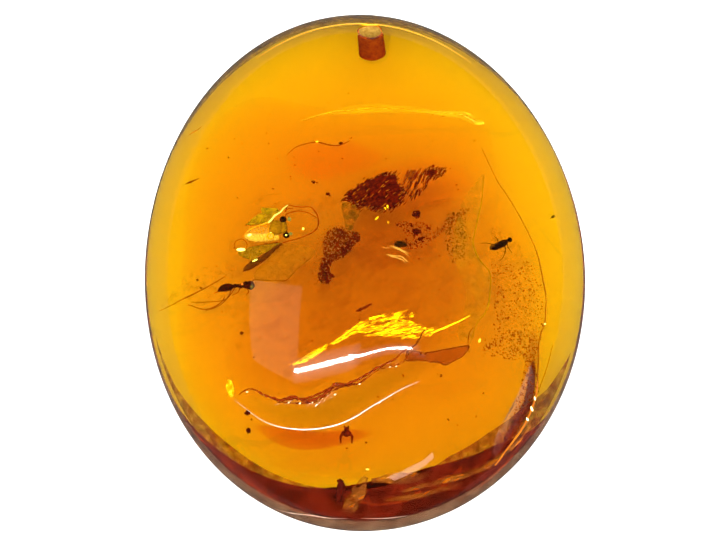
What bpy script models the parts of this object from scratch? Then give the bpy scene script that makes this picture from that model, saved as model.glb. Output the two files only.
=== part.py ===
"""Insect in amber.

A drop of polished amber, 35 mm wide, 42 mm long and 9.5 mm thick, with a flat back to lie on and a
broad bevel ground on the back of its lower end.  It is parted in two solids, a front and a back, so that the insects and plant scraps sealed in it
can be solids of their own, each in a pocket that rises from the parting face.  A blind hole for a
glued peg is drilled in its top edge, and a shell-shaped chip is missing from its front.

Lengths are in millimetres up to the point where they become mesh; the model is in metres, +Z up.
The origin is the middle of the flat back.  +X is the drop's right side and +Y its drilled end.
"""

import math
import random

import bmesh
import bpy
from mathutils import Matrix, Vector, noise

MM = 0.001
TAU = 2 * math.pi

# ---- the drop: driving dimensions, mm
HALF_WIDTH = 17.5
HALF_LENGTH = 21.0
THICKNESS = 9.5
GIRDLE_Z = 0.9              # height of the widest line where there is no bevel
BACK_FLAT = 0.80            # flat back, as a share of the outline
DOME_POWER = 2.4            # 2 is an ellipse, more is squarer
OUTLINE_TURN = 1.7          # degrees that the long axis leans to the left
OUTLINE_LEAN = (0.0077, 121.6)      # share and direction of one fuller side
OUTLINE_THREE = (0.006, 47.0)       # share and direction of three low lobes

# ---- the bevel on the back, which is broad at the lower end only
BEVEL_SLOPE = 37.0          # degrees
BEVEL_STARTS = [(-180, 0.95), (-150, 0.895), (-134, 0.868), (-118, 0.836), (-100, 0.796), (-88, 0.768),
                (-74, 0.763), (-65, 0.78), (-56, 0.808), (-47, 0.86), (-35, 0.90), (-15, 0.95),
                (180, 0.95)]        # direction in degrees, share of the outline at its inner edge

# ---- the hand-ground faces of the front, mm
CAP_RADIUS = 75.0           # the nearly flat crown
CAP_TOP = (0.5, 1.0, 9.42)
SLOPE_TURN = 13.0           # degrees between the ridge and the X axis
SLOPE_OFFSET = -8.2         # the ridge, along the slope's own direction
SLOPE_TOP = 8.88
SLOPE_RISE = 0.17
RIDGE_BLEND = 0.08
EDGE_BLEND = 0.5

# ---- how finely the drop is drawn
AROUND = 72
BACK_SHARES = (0.62, 0.765, 0.80, 0.84, 0.87, 0.90, 0.93, 0.96, 0.985, 1.0)
FRONT_RINGS = 15

# ---- parting and pockets, mm
PART_Z = 2.4
GAP = 0.3
POCKET_SIDES = 20
GRAIN_POCKET_SIDES = 10
POCKET_ROUND = 0.7          # radius at the pocket's roof

# ---- the peg hole, mm
HOLE_RADIUS = 0.95
HOLE_DEPTH = 3.0
HOLE_MOUTH = (0.39, 18.46)
HOLE_LEAN = (0.05, -0.79, -0.61)

# ---- the chip in the front: its ragged wall and its smooth lip, left to right, mm
CHIP_WALL = [(-9.05, -11.1), (-8.0, -11.0), (-6.6, -11.7), (-5.4, -11.5), (-4.2, -11.8), (-2.9, -11.3),
             (-2.2, -10.7), (-0.3, -10.2), (1.05, -9.4), (2.5, -9.0), (3.4, -8.3), (4.6, -8.2)]
CHIP_LIP = [(-9.8, -11.4), (-9.2, -12.0), (-8.5, -12.4), (-7.5, -13.0), (-6.5, -13.4), (-4.7, -13.7),
            (-2.4, -13.55), (-0.2, -12.5), (1.95, -11.2), (3.0, -10.6), (4.05, -10.1), (5.2, -9.3)]
CHIP_DEPTH = 0.5


# ---------------------------------------------------------------- scene and materials

def clear_scene():
    for ob in list(bpy.data.objects):
        bpy.data.objects.remove(ob, do_unlink=True)


def material(name, colour, roughness, alpha=1.0, transmission=0.0, ior=1.5):
    mat = bpy.data.materials.new(name)
    mat.use_nodes = True
    shader = mat.node_tree.nodes["Principled BSDF"]
    shader.inputs["Base Color"].default_value = (*colour, 1.0)
    shader.inputs["Roughness"].default_value = roughness
    shader.inputs["Metallic"].default_value = 0.0
    shader.inputs["Alpha"].default_value = alpha
    shader.inputs["Transmission Weight"].default_value = transmission
    shader.inputs["IOR"].default_value = ior
    return mat


def object_from(bm, name, mat=None):
    bmesh.ops.recalc_face_normals(bm, faces=bm.faces)
    mesh = bpy.data.meshes.new(name)
    bm.to_mesh(mesh)
    bm.free()
    ob = bpy.data.objects.new(name, mesh)
    bpy.context.scene.collection.objects.link(ob)
    if mat:
        mesh.materials.append(mat)
    return ob


def tool(ob, group):
    """Keeps ob as a hidden cutter or a piece to fuse, in the named group."""
    ob.hide_render = True
    ob.display_type = "WIRE"
    bpy.context.scene.collection.objects.unlink(ob)
    group.objects.link(ob)


def tool_group(name):
    group = bpy.data.collections.new(name)
    bpy.context.scene.collection.children.link(group)
    return group


def boolean(ob, operation, group):
    mod = ob.modifiers.new(operation.lower(), "BOOLEAN")
    mod.operation = operation
    mod.solver = "EXACT"
    mod.operand_type = "COLLECTION"
    mod.collection = group


# ---------------------------------------------------------------- the drop's form

def outline(angle):
    """Distance from the axis to the girdle in the direction angle, mm."""
    turned = angle - math.radians(OUTLINE_TURN)
    ellipse = HALF_WIDTH * HALF_LENGTH / math.hypot(HALF_LENGTH * math.cos(turned),
                                                    HALF_WIDTH * math.sin(turned))
    lean = OUTLINE_LEAN[0] * math.cos(angle + math.radians(OUTLINE_LEAN[1]))
    lobes = OUTLINE_THREE[0] * math.cos(3 * angle + math.radians(OUTLINE_THREE[1]))
    return ellipse * (1 + lean + lobes)


def blend_low(a, b, width):
    """The lower of two heights, rounded where they cross."""
    h = min(1.0, max(0.0, 0.5 + 0.5 * (b - a) / width))
    return b * (1 - h) + a * h - width * h * (1 - h)


def bevel_start(angle):
    """Share of the outline at which the bevel on the back starts, in the direction angle."""
    degrees = math.degrees(angle)
    for (a0, start), (a1, end) in zip(BEVEL_STARTS, BEVEL_STARTS[1:]):
        if a0 <= degrees <= a1:
            return start + (end - start) * (degrees - a0) / (a1 - a0)
    return BEVEL_STARTS[0][1]


def rounded_back(share):
    """Height of the back without its bevel: flat, then rounded up to the widest line."""
    if share <= BACK_FLAT:
        return 0.0
    return GIRDLE_Z * (1 - math.sqrt(1 - ((share - BACK_FLAT) / (1 - BACK_FLAT)) ** 2))


def back_height(share, angle):
    """Height of the back at a share of the outline, mm."""
    start = bevel_start(angle)
    beyond = max(0.0, share - start) * outline(angle)
    bevel = rounded_back(start) + math.tan(math.radians(BEVEL_SLOPE)) * beyond
    return max(rounded_back(share), bevel if beyond > 0 else 0.0)


def front_height(x, y):
    """Height of the polished front above the point x, y, mm."""
    angle = math.atan2(y, x)
    share = min(1.0, math.hypot(x, y) / outline(angle))
    low = back_height(1.0, angle)
    dome = low + (THICKNESS - low) * math.sqrt(1 - share ** DOME_POWER)
    cap_x, cap_y, cap_z = CAP_TOP
    cap = cap_z - ((x - cap_x) ** 2 + (y - cap_y) ** 2) / (2 * CAP_RADIUS)
    turn = math.radians(SLOPE_TURN)
    along = y * math.cos(turn) - x * math.sin(turn)
    slope = SLOPE_TOP + SLOPE_RISE * (along - SLOPE_OFFSET)
    return blend_low(blend_low(cap, slope, RIDGE_BLEND), dome, EDGE_BLEND)


def drop_profile():
    """Half section of the drop: shares of the outline, with 1 as height on the front and 0 on the back."""
    points = [(0.0, 0.0)] + [(share, 0.0) for share in BACK_SHARES]
    for i in range(1, FRONT_RINGS + 1):
        a = math.pi / 2 * (1 - i / FRONT_RINGS)
        points.append((math.sin(a) ** (2 / DOME_POWER) if i < FRONT_RINGS else 0.0, 1.0))
    return points


def drop_mesh():
    bm = bmesh.new()
    verts = [bm.verts.new((share, 0.0, side)) for share, side in drop_profile()]
    edges = [bm.edges.new(pair) for pair in zip(verts, verts[1:])]
    bmesh.ops.spin(bm, geom=verts + edges, axis=(0, 0, 1), cent=(0, 0, 0), angle=TAU,
                   steps=AROUND, use_merge=True)
    bmesh.ops.remove_doubles(bm, verts=bm.verts, dist=1e-5)
    for v in bm.verts:
        share = min(1.0, math.hypot(v.co.x, v.co.y))
        angle = math.atan2(v.co.y, v.co.x)
        x = outline(angle) * share * math.cos(angle)
        y = outline(angle) * share * math.sin(angle)
        z = front_height(x, y) if v.co.z > 0.5 else back_height(share, angle)
        v.co = Vector((x, y, z)) * MM
    return bm


def half_drop(name, mat, front):
    """The part of the drop in front of or behind the parting face, closed by a flat face."""
    bm = drop_mesh()
    height = (PART_Z + (GAP / 2 if front else -GAP / 2)) * MM
    cut = bmesh.ops.bisect_plane(bm, geom=bm.verts[:] + bm.edges[:] + bm.faces[:],
                                 plane_co=(0, 0, height), plane_no=(0, 0, 1),
                                 clear_inner=front, clear_outer=not front)
    rim = [g for g in cut["geom_cut"] if isinstance(g, bmesh.types.BMEdge)]
    bmesh.ops.contextual_create(bm, geom=rim)
    return object_from(bm, name, mat)


# ---------------------------------------------------------------- cutters for the front half

def pocket(name, centre, half, roof, turn, group, sides=POCKET_SIDES):
    """A blind elliptical pocket from the parting face up to the height roof."""
    bm = bmesh.new()
    floor = PART_Z - 1.0
    section = [(0.0, floor), (1.0, floor), (1.0, roof - POCKET_ROUND), (0.86, roof - 0.25), (0.6, roof),
               (0.0, roof)]
    verts = [bm.verts.new((share, 0.0, z)) for share, z in section]
    edges = [bm.edges.new(pair) for pair in zip(verts, verts[1:])]
    bmesh.ops.spin(bm, geom=verts + edges, axis=(0, 0, 1), cent=(0, 0, 0), angle=TAU,
                   steps=sides, use_merge=True)
    bmesh.ops.remove_doubles(bm, verts=bm.verts, dist=1e-5)
    size = Matrix.Diagonal((half[0], half[1], 1.0, 1.0))
    place = Matrix.Translation((centre[0], centre[1], 0)) @ Matrix.Rotation(math.radians(turn), 4, "Z")
    bmesh.ops.transform(bm, matrix=Matrix.Scale(MM, 4) @ place @ size, verts=bm.verts)
    tool(object_from(bm, name), group)


def peg_hole(group):
    """A blind round hole, its mouth just outside the polished edge."""
    x, y = HOLE_MOUTH
    mouth = Vector((x, y, front_height(x, y)))
    inward = Vector(HOLE_LEAN).normalized()
    overrun = 2.0
    length = HOLE_DEPTH + overrun
    bm = bmesh.new()
    bmesh.ops.create_cone(bm, cap_ends=True, segments=24, radius1=HOLE_RADIUS, radius2=HOLE_RADIUS,
                          depth=length)
    turn = inward.to_track_quat("Z", "Y").to_matrix().to_4x4()
    place = Matrix.Translation(mouth + inward * (length / 2 - overrun)) @ turn
    bmesh.ops.transform(bm, matrix=Matrix.Scale(MM, 4) @ place, verts=bm.verts)
    far = [f for f in bm.faces if f.normal.dot(inward) > 0.99]
    bmesh.ops.inset_region(bm, faces=far, thickness=0.25 * MM, depth=0.25 * MM)
    tool(object_from(bm, "peg_hole_cutter"), group)


def chip_cutter(group):
    """A wedge that leaves a steep ragged wall and a floor rising to the lip."""
    bm = bmesh.new()
    above = 1.5
    rings = []
    last = len(CHIP_WALL) - 1
    for i, (wall, lip) in enumerate(zip(CHIP_WALL, CHIP_LIP)):
        depth = CHIP_DEPTH * math.sin(math.pi * (i + 0.35) / (last + 0.7))
        wall_top = front_height(*wall)
        lip_top = front_height(*lip)
        beyond = Vector(lip) + (Vector(lip) - Vector(wall)) * 0.6
        floor_beyond = lip_top + depth * 0.6
        ring = [(*wall, wall_top - depth), (*lip, lip_top - 0.01), (*beyond, floor_beyond),
                (*beyond, wall_top + above), (wall[0], wall[1] + 0.12, wall_top + above)]
        rings.append([bm.verts.new(Vector(p) * MM) for p in ring])
    for a, b in zip(rings, rings[1:]):
        for k in range(len(a)):
            n = (k + 1) % len(a)
            bm.faces.new((a[k], a[n], b[n], b[k]))
    bm.faces.new(rings[0])
    bm.faces.new(rings[-1])
    tool(object_from(bm, "chip_cutter"), group)


# ---------------------------------------------------------------- shapes for the inclusions

def ball(centre, radii, turn=0.0, tilt=0.0, sides=10, rings=6):
    """An ellipsoid; turn is about Z and tilt about its own Y, in degrees."""
    bm = bmesh.new()
    bmesh.ops.create_uvsphere(bm, u_segments=sides, v_segments=rings, radius=1.0)
    place = (Matrix.Translation(centre) @ Matrix.Rotation(math.radians(turn), 4, "Z")
             @ Matrix.Rotation(math.radians(tilt), 4, "Y") @ Matrix.Diagonal((*radii, 1.0)))
    bmesh.ops.transform(bm, matrix=Matrix.Scale(MM, 4) @ place, verts=bm.verts)
    return object_from(bm, "ball")


def limb(points, start, end, sides=5):
    """A tapering leg, feeler or vein along points, from radius start to radius end."""
    bm = bmesh.new()
    spots = [Vector(p) for p in points]
    rings = []
    for i, spot in enumerate(spots):
        ahead = spots[min(i + 1, len(spots) - 1)] - spots[max(i - 1, 0)]
        turn = ahead.normalized().to_track_quat("Z", "Y").to_matrix().to_4x4()
        radius = start + (end - start) * i / (len(spots) - 1)
        made = bmesh.ops.create_circle(bm, segments=sides, radius=radius,
                                       matrix=Matrix.Translation(spot) @ turn)
        rings.append(made["verts"])
    loops = [e for e in bm.edges]
    bmesh.ops.bridge_loops(bm, edges=loops)
    for ring in (rings[0], rings[-1]):
        bmesh.ops.contextual_create(bm, geom=ring)
    bmesh.ops.transform(bm, matrix=Matrix.Scale(MM, 4), verts=bm.verts)
    return object_from(bm, "limb")


def plate(outline_points, height, thickness, tilt=(0.0, 0.0)):
    """A thin wing from its outline; tilt raises it per mm along X and Y."""
    bm = bmesh.new()
    x0, y0 = outline_points[0]
    verts = [bm.verts.new((x, y, height + tilt[0] * (x - x0) + tilt[1] * (y - y0)))
             for x, y in outline_points]
    face = bm.faces.new(verts)
    made = bmesh.ops.extrude_face_region(bm, geom=[face])
    top = [g for g in made["geom"] if isinstance(g, bmesh.types.BMVert)]
    bmesh.ops.translate(bm, vec=(0, 0, thickness), verts=top)
    bmesh.ops.transform(bm, matrix=Matrix.Scale(MM, 4), verts=bm.verts)
    return object_from(bm, "plate")


def fuse(name, pieces, mat):
    """Joins the pieces in one solid; the first one gives it its mesh."""
    body, *rest = pieces
    body.name = name
    body.data.name = name
    body.data.materials.append(mat)
    group = tool_group(name + "_pieces")
    for i, piece in enumerate(rest):
        piece.name = f"{name}_piece_{i + 1}"
        tool(piece, group)
    boolean(body, "UNION", group)
    return body


def lump(name, centre, half, turn, seed, mat, rough=0.22, detail=1):
    """An irregular grain of bark or dirt."""
    bm = bmesh.new()
    bmesh.ops.create_icosphere(bm, subdivisions=detail, radius=1.0)
    shift = Vector((seed * 3.1, seed * 1.7, seed * 0.9))
    for v in bm.verts:
        v.co *= 1 + rough * noise.noise(v.co * 1.6 + shift) * 2
    place = (Matrix.Translation(centre) @ Matrix.Rotation(math.radians(turn), 4, "Z")
             @ Matrix.Diagonal((*half, 1.0)))
    bmesh.ops.transform(bm, matrix=Matrix.Scale(MM, 4) @ place, verts=bm.verts)
    return object_from(bm, name, mat)


# ---------------------------------------------------------------- the animals

def winged_insect(mat):
    """A small four-winged insect seen from above, its long feelers looped in front of it."""
    z = 6.0
    pieces = [ball((-6.86, 1.90, z), (0.62, 0.62, 0.48), turn=8)]
    pieces.append(ball((-6.12, 1.99, z), (0.34, 0.52, 0.32)))
    pieces.append(ball((-6.10, 2.58, z + 0.06), (0.27, 0.25, 0.25)))
    pieces.append(ball((-5.96, 1.42, z + 0.06), (0.27, 0.25, 0.25)))
    pieces.append(ball((-7.99, 1.65, z - 0.05), (1.12, 0.50, 0.42), turn=10))
    pieces.append(limb([(-6.08, 2.64, z + 0.1), (-5.8, 3.0, z + 0.12), (-5.3, 3.18, z + 0.16),
                        (-4.7, 3.2, z + 0.18), (-4.1, 3.0, z + 0.16)], 0.07, 0.04))
    pieces.append(limb([(-6.03, 2.64, z), (-5.88, 3.44, z - 0.05), (-5.2, 3.73, z - 0.1),
                        (-4.5, 3.55, z - 0.12), (-3.87, 3.03, z - 0.12), (-3.56, 2.44, z - 0.1),
                        (-3.8, 1.82, z - 0.06), (-4.5, 1.46, z - 0.04), (-5.2, 1.22, z),
                        (-5.88, 1.26, z)], 0.07, 0.05))
    pieces.append(plate([(-6.37, 2.25), (-5.82, 3.76), (-6.7, 3.55), (-7.64, 3.53), (-8.33, 3.13),
                         (-9.0, 1.6), (-7.84, 2.05)], z + 0.14, 0.07, tilt=(0.02, 0.08)))
    pieces.append(plate([(-6.08, 1.45), (-6.17, 0.77), (-7.64, -0.46), (-9.1, -1.38), (-8.7, -0.5),
                         (-7.35, 0.67)], z - 0.12, 0.10, tilt=(0.03, 0.02)))
    pieces.append(plate([(-6.57, 1.65), (-5.5, 0.38), (-3.5, 0.5), (-3.4, -0.8), (-4.5, -2.2),
                         (-6.3, -2.6), (-7.35, -1.7), (-7.15, 0.08)], z - 0.3, 0.06, tilt=(0.0, 0.04)))
    for side, reach in ((1, 0.5), (-1, 0.35)):
        knee_y = 1.9 + side * 0.55
        pieces.append(limb([(-7.06, 1.9, z - 0.35), (-7.45, knee_y, z - 0.62),
                            (-8.2, knee_y + side * reach, z - 0.72)], 0.07, 0.04))
    return fuse("winged_insect", pieces, mat)


def ant_like_wasp(mat):
    """A narrow-waisted insect with elbowed feelers and two legs trailing behind."""
    z = 5.4
    pieces = [ball((-9.45, -2.45, z), (0.42, 0.25, 0.25), turn=6)]
    pieces.append(ball((-8.68, -2.39, z), (0.46, 0.32, 0.30), turn=4))
    pieces.append(ball((-10.33, -2.54, z), (0.56, 0.31, 0.29), turn=5))
    pieces.append(limb([(-10.64, -2.6, z), (-10.88, -2.74, z), (-11.16, -2.88, z)], 0.12, 0.04))
    pieces.append(limb([(-8.46, -2.35, z + 0.1), (-8.17, -2.03, z + 0.12), (-7.1, -1.98, z + 0.1),
                        (-5.98, -2.0, z + 0.05), (-5.04, -1.12, z)], 0.05, 0.03))
    pieces.append(limb([(-9.75, -2.5, z - 0.1), (-10.0, -2.99, z - 0.1), (-10.53, -3.48, z - 0.15),
                        (-11.85, -3.59, z - 0.2), (-13.0, -3.55, z - 0.2)], 0.07, 0.03))
    pieces.append(limb([(-10.05, -2.6, z - 0.15), (-10.24, -3.24, z - 0.25), (-10.9, -3.9, z - 0.3),
                        (-11.95, -4.26, z - 0.3)], 0.07, 0.03))
    return fuse("ant_like_wasp", pieces, mat)


def midge(mat):
    """A tiny fly with folded wings and a few bent legs."""
    z = 5.7
    pieces = [ball((10.15, 0.76, z), (0.62, 0.24, 0.22), turn=25)]
    pieces.append(ball((10.73, 1.03, z), (0.32, 0.28, 0.24), turn=25))
    pieces.append(limb([(10.5, 0.78, z), (10.54, 0.33, z - 0.05), (10.38, -0.18, z - 0.08),
                        (10.1, -0.47, z - 0.1)], 0.05, 0.03))
    pieces.append(limb([(10.7, 0.88, z), (10.76, 0.53, z), (11.04, 0.15, z - 0.05)], 0.05, 0.03))
    pieces.append(limb([(9.9, 0.73, z), (9.3, 0.85, z), (8.64, 0.84, z)], 0.05, 0.03))
    pieces.append(limb([(10.1, 0.83, z), (9.95, 1.17, z), (9.7, 1.36, z)], 0.05, 0.03))
    pieces.append(plate([(10.6, 0.98), (10.0, 0.9), (9.35, 0.5), (9.5, 0.38), (10.1, 0.58)],
                        z + 0.16, 0.05, tilt=(0.02, 0.0)))
    return fuse("midge", pieces, mat)


def spider(mat):
    """A speck-sized spider with two bent front legs and two behind."""
    z = 5.8
    x = -1.38
    pieces = [ball((x, -13.7, z), (0.24, 0.30, 0.20))]
    pieces.append(ball((x + 0.01, -13.41, z), (0.17, 0.16, 0.15)))
    for side in (-1, 1):
        pieces.append(limb([(x, -13.45, z), (x + side * 0.13, -13.28, z + 0.02),
                            (x + side * 0.16, -13.17, z)], 0.05, 0.03))
        pieces.append(limb([(x, -13.74, z), (x + side * 0.38, -13.88, z + 0.04),
                            (x + side * 0.43, -14.15, z), (x + side * 0.41, -14.44, z)],
                           0.06, 0.03))
    return fuse("spider", pieces, mat)


# ---------------------------------------------------------------- the plant scraps

def bark_flake(mat):
    """A charred flake, broad and split at its left end and drawn out to a toothed tip."""
    rng = random.Random(11)
    bm = bmesh.new()
    root, tip = Vector((-1.57, 4.27)), Vector((6.06, 6.84))
    along = (tip - root).normalized()
    across = Vector((-along.y, along.x))
    length = (tip - root).length
    steps = 22
    upper, lower = [], []
    for i in range(steps + 1):
        s = i / steps
        half = 1.28 * math.sin(math.pi * min(1.0, s * 1.05 + 0.06)) ** 0.7 + 0.12
        if 0.60 < s < 0.72:
            half *= 0.72
        rag = 0.22 * rng.uniform(-1, 1)
        centre = root + along * (length * s) - across * (0.25 * math.sin(math.pi * s))
        upper.append(centre + across * (half + rag))
        lower.append(centre - across * (half * 0.9 - 0.22 * rng.uniform(-1, 1)))
    ring = upper + lower[::-1]
    face = bm.faces.new([bm.verts.new((p.x, p.y, 4.9 + 0.05 * rng.uniform(-1, 1))) for p in ring])
    made = bmesh.ops.extrude_face_region(bm, geom=[face])
    top = [g for g in made["geom"] if isinstance(g, bmesh.types.BMVert)]
    bmesh.ops.translate(bm, vec=(0, 0, 0.5), verts=top)
    bmesh.ops.triangulate(bm, faces=bm.faces)
    bmesh.ops.transform(bm, matrix=Matrix.Scale(MM, 4), verts=bm.verts)
    return object_from(bm, "bark_flake", mat)


def crumb_patch(mat):
    """A curved patch of fine crumbs, drawn here as one lumpy sheet."""
    pieces = []
    spine = [(-0.9, 1.63, 0.55), (-1.54, 1.83, 0.75), (-2.13, 1.2, 0.75), (-2.38, 0.3, 0.7),
             (-2.82, -0.5, 0.62), (-3.1, -1.28, 0.55), (-2.92, -1.96, 0.38)]
    for i, (x, y, r) in enumerate(spine):
        pieces.append(lump("crumb", (x, y, 4.8 + 0.06 * (i % 2)), (r, r * 0.9, 0.28), i * 47, i + 3, None))
    return fuse("crumb_patch", pieces, mat)


def twig(name, ends, height, radius, mat):
    (x0, y0), (x1, y1) = ends
    middle = ((x0 + x1) / 2 + 0.03, (y0 + y1) / 2 + 0.04, height)
    ob = limb([(x0, y0, height), middle, (x1, y1, height)], radius, radius * 0.6, sides=6)
    ob.name = name
    ob.data.name = name
    ob.data.materials.append(mat)
    return ob


# Each grain: its name, its middle, its half sizes and its turn in degrees.
GRAINS = [
    ("bark_crumb_1", (3.94, 3.09, 5.4), (0.36, 0.30, 0.2), 20),
    ("bark_crumb_2", (3.94, 1.7, 5.4), (0.28, 0.20, 0.15), 60),
    ("bark_crumb_3", (4.2, 1.1, 5.4), (0.24, 0.16, 0.15), -20),
    ("grain_1", (-1.85, 8.64, 5.8), (0.16, 0.12, 0.1), 0),
    ("grain_2", (-3.88, 5.57, 5.8), (0.14, 0.14, 0.1), 0),
    ("grain_3", (-9.21, -6.01, 5.4), (0.15, 0.12, 0.1), 0),
    ("grain_4", (-8.74, -12.0, 5.4), (0.2, 0.17, 0.15), 0),
    ("grain_5", (-8.65, -13.3, 5.2), (0.2, 0.17, 0.15), 0),
    ("grain_6", (-2.83, 4.67, 5.6), (0.12, 0.12, 0.1), 0),
    ("seed_husk", (2.68, 0.78, 5.4), (0.55, 0.30, 0.2), -10),
    ("bark_fleck", (-1.82, -17.4, 4.4), (0.34, 0.9, 0.35), -2),
]

# Each pocket: its middle, its half sizes, the height of its roof and its turn in degrees.
POCKETS = [
    ("insect_pocket", (-6.4, 0.55), (4.0, 4.1), 7.0, 0),
    ("wasp_pocket", (-9.1, -2.75), (4.6, 2.3), 6.2, 5),
    ("midge_pocket", (9.95, 0.5), (1.9, 1.5), 6.5, 25),
    ("spider_pocket", (-1.38, -13.8), (1.0, 1.1), 6.4, 0),
    ("flake_pocket", (2.3, 5.5), (4.9, 2.5), 6.0, 18),
    ("patch_pocket", (-2.1, 0.2), (2.5, 3.2), 5.8, -25),
    ("splinter_pocket", (-13.05, 6.1), (1.05, 0.65), 5.1, 15),
    ("rod_pocket", (-0.06, -4.1), (1.3, 0.8), 6.1, 30),
]
GRAIN_CLEARANCE = 0.55


def main():
    clear_scene()
    clear = material("amber", (0.95, 0.50, 0.04), 0.03, alpha=0.45, transmission=1.0, ior=1.54)
    body = material("insect_cuticle", (0.05, 0.025, 0.012), 0.45)
    winged = material("insect_body_gold", (0.45, 0.30, 0.08), 0.40)
    bark = material("charred_bark", (0.12, 0.025, 0.008), 0.75)
    dirt = material("dirt", (0.07, 0.02, 0.008), 0.80)

    front = half_drop("amber_front", clear, front=True)
    half_drop("amber_back", clear, front=False)

    winged_insect(winged)
    ant_like_wasp(body)
    midge(body)
    spider(body)
    bark_flake(bark)
    crumb_patch(bark)
    twig("twig_splinter", ((-13.62, 5.99), (-12.52, 6.25)), 4.5, 0.12, bark)
    twig("twig_rod", ((-0.66, -4.43), (0.54, -3.75)), 5.4, 0.14, bark)
    for seed, (name, centre, half, turn) in enumerate(GRAINS):
        lump(name, centre, half, turn, seed, dirt)

    cutters = tool_group("front_cutters")
    for name, centre, half, roof, turn in POCKETS:
        pocket(name, centre, half, roof, turn, cutters)
    for name, (x, y, z), half, turn in GRAINS:
        room = (half[0] + GRAIN_CLEARANCE, half[1] + GRAIN_CLEARANCE)
        pocket(name + "_pocket", (x, y), room, z + half[2] + GRAIN_CLEARANCE, turn, cutters,
               GRAIN_POCKET_SIDES)
    peg_hole(cutters)
    chip_cutter(cutters)
    boolean(front, "DIFFERENCE", cutters)


main()
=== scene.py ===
import math
import random

import bmesh
import bpy
from mathutils import Matrix, Vector, noise


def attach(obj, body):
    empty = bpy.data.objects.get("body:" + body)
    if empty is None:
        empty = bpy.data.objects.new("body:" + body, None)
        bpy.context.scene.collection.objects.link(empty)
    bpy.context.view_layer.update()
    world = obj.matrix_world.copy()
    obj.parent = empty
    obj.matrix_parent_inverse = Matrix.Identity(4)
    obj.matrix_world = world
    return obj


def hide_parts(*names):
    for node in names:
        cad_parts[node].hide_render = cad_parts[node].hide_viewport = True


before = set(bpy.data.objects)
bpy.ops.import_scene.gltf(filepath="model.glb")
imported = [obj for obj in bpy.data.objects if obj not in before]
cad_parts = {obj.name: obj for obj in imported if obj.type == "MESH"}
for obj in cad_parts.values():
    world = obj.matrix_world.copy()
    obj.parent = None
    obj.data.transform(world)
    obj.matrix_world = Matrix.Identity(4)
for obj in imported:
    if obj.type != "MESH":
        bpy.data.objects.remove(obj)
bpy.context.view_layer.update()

MM = 0.001
TAU = 2 * math.pi

# ---------------------------------------------------------------- sizes, mm
# The drop's form, as the frame has it: a rounded outline, a domed front that is ground flatter in two
# places, and a bevel behind the lower end.
HALF_WIDTH = 17.5
HALF_LENGTH = 21.0
THICKNESS = 9.5                    # of the dome, before its top is ground
GIRDLE_Z = 0.9                     # height of the widest line
BACK_FLAT = 0.80                   # share of the outline that lies flat
DOME_POWER = 2.4                   # 2 is an ellipsoid, and more is squarer
OUTLINE_TURN = 1.7                 # degrees
OUTLINE_LEAN = (0.0077, 121.6)     # how far it leans to one side: share of the radius, and degrees
OUTLINE_THREE = (0.006, 47.0)      # the same for its three faint lobes
BEVEL_SLOPE = 37.0                 # degrees
# Where the bevel starts: (angle in degrees, share of the outline).
BEVEL_STARTS = [
    (-180, 0.95), (-150, 0.895), (-134, 0.868), (-118, 0.836), (-100, 0.796), (-88, 0.768), (-74, 0.763),
    (-65, 0.78), (-56, 0.808), (-47, 0.86), (-35, 0.90), (-15, 0.95), (180, 0.95)
]
CAP_RADIUS = 75.0
CAP_TOP = (0.5, 1.0, 9.42)
SLOPE_TURN = 13.0                  # the lower facet of the front: its turn in degrees,
SLOPE_OFFSET = -8.2                # where it meets the cap,
SLOPE_TOP = 8.88                   # how high,
SLOPE_RISE = 0.17                  # and its rise per mm
RIDGE_BLEND = 0.08
EDGE_BLEND = 0.5
AROUND = 360                       # steps round the drop
BACK_RINGS = 54
FRONT_RINGS = 72

HOLE_RADIUS = 0.95
HOLE_DEPTH = 3.0
HOLE_MOUTH = (0.39, 18.46)
HOLE_LEAN = (0.05, -0.79, -0.61)

# The chip: its upper wall, its lip and the wall's depth, far less than the solid's, so that the floor
# hardly bends what lies behind it.
CHIP_WALL = [
    (-9.05, -11.1), (-8.0, -11.0), (-6.6, -11.7), (-5.4, -11.5), (-4.2, -11.8), (-2.9, -11.3),
    (-2.2, -10.7), (-0.3, -10.2), (1.05, -9.4), (2.5, -9.0), (3.4, -8.3), (4.6, -8.2)
]
CHIP_LIP = [
    (-9.8, -11.4), (-9.2, -12.0), (-8.5, -12.4), (-7.5, -13.0), (-6.5, -13.4), (-4.7, -13.7),
    (-2.4, -13.55), (-0.2, -12.5), (1.95, -11.2), (3.0, -10.6), (4.05, -10.1), (5.2, -9.3)
]
CHIP_DEPTH = 0.035

# Light: what amber takes of red, green and blue per metre, and how bright the surroundings are.
AMBER_IOR = 1.54
AMBER_LOSS = (44.0, 98.0, 1050.0)
SKY = (0.2, 0.7, 0.45, 5.0)        # heights where the sky starts and ends to brighten, and both strengths
SKY_IN_POLISH = 0.05               # strength of the sky where the polish mirrors it
CARD_WHITE = 0.9
CARD_IN_POLISH = 0.05              # grey of the card where the polish mirrors it
LAMP_HEIGHT = 500.0

# The camera: a long lens high over the drop, leaning towards its lower end.
CAMERA_HEIGHT = 78.0               # degrees above the floor
CAMERA_LENS = 110.0
CAMERA_AWAY = 172.2
CAMERA_AIM = (0.0, 0.0, 4.0)
CAMERA_SHIFT = (-4.9 / 720, -8.9 / 720)    # shares of the picture's width


# ---------------------------------------------------------------- materials

def linear(hex_colour):
    """A linear colour from an sRGB hex value."""
    parts = [int(hex_colour[i:i + 2], 16) / 255 for i in (1, 3, 5)]
    return tuple(c / 12.92 if c <= 0.04045 else ((c + 0.055) / 1.055) ** 2.4 for c in parts) + (1.0,)


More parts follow.
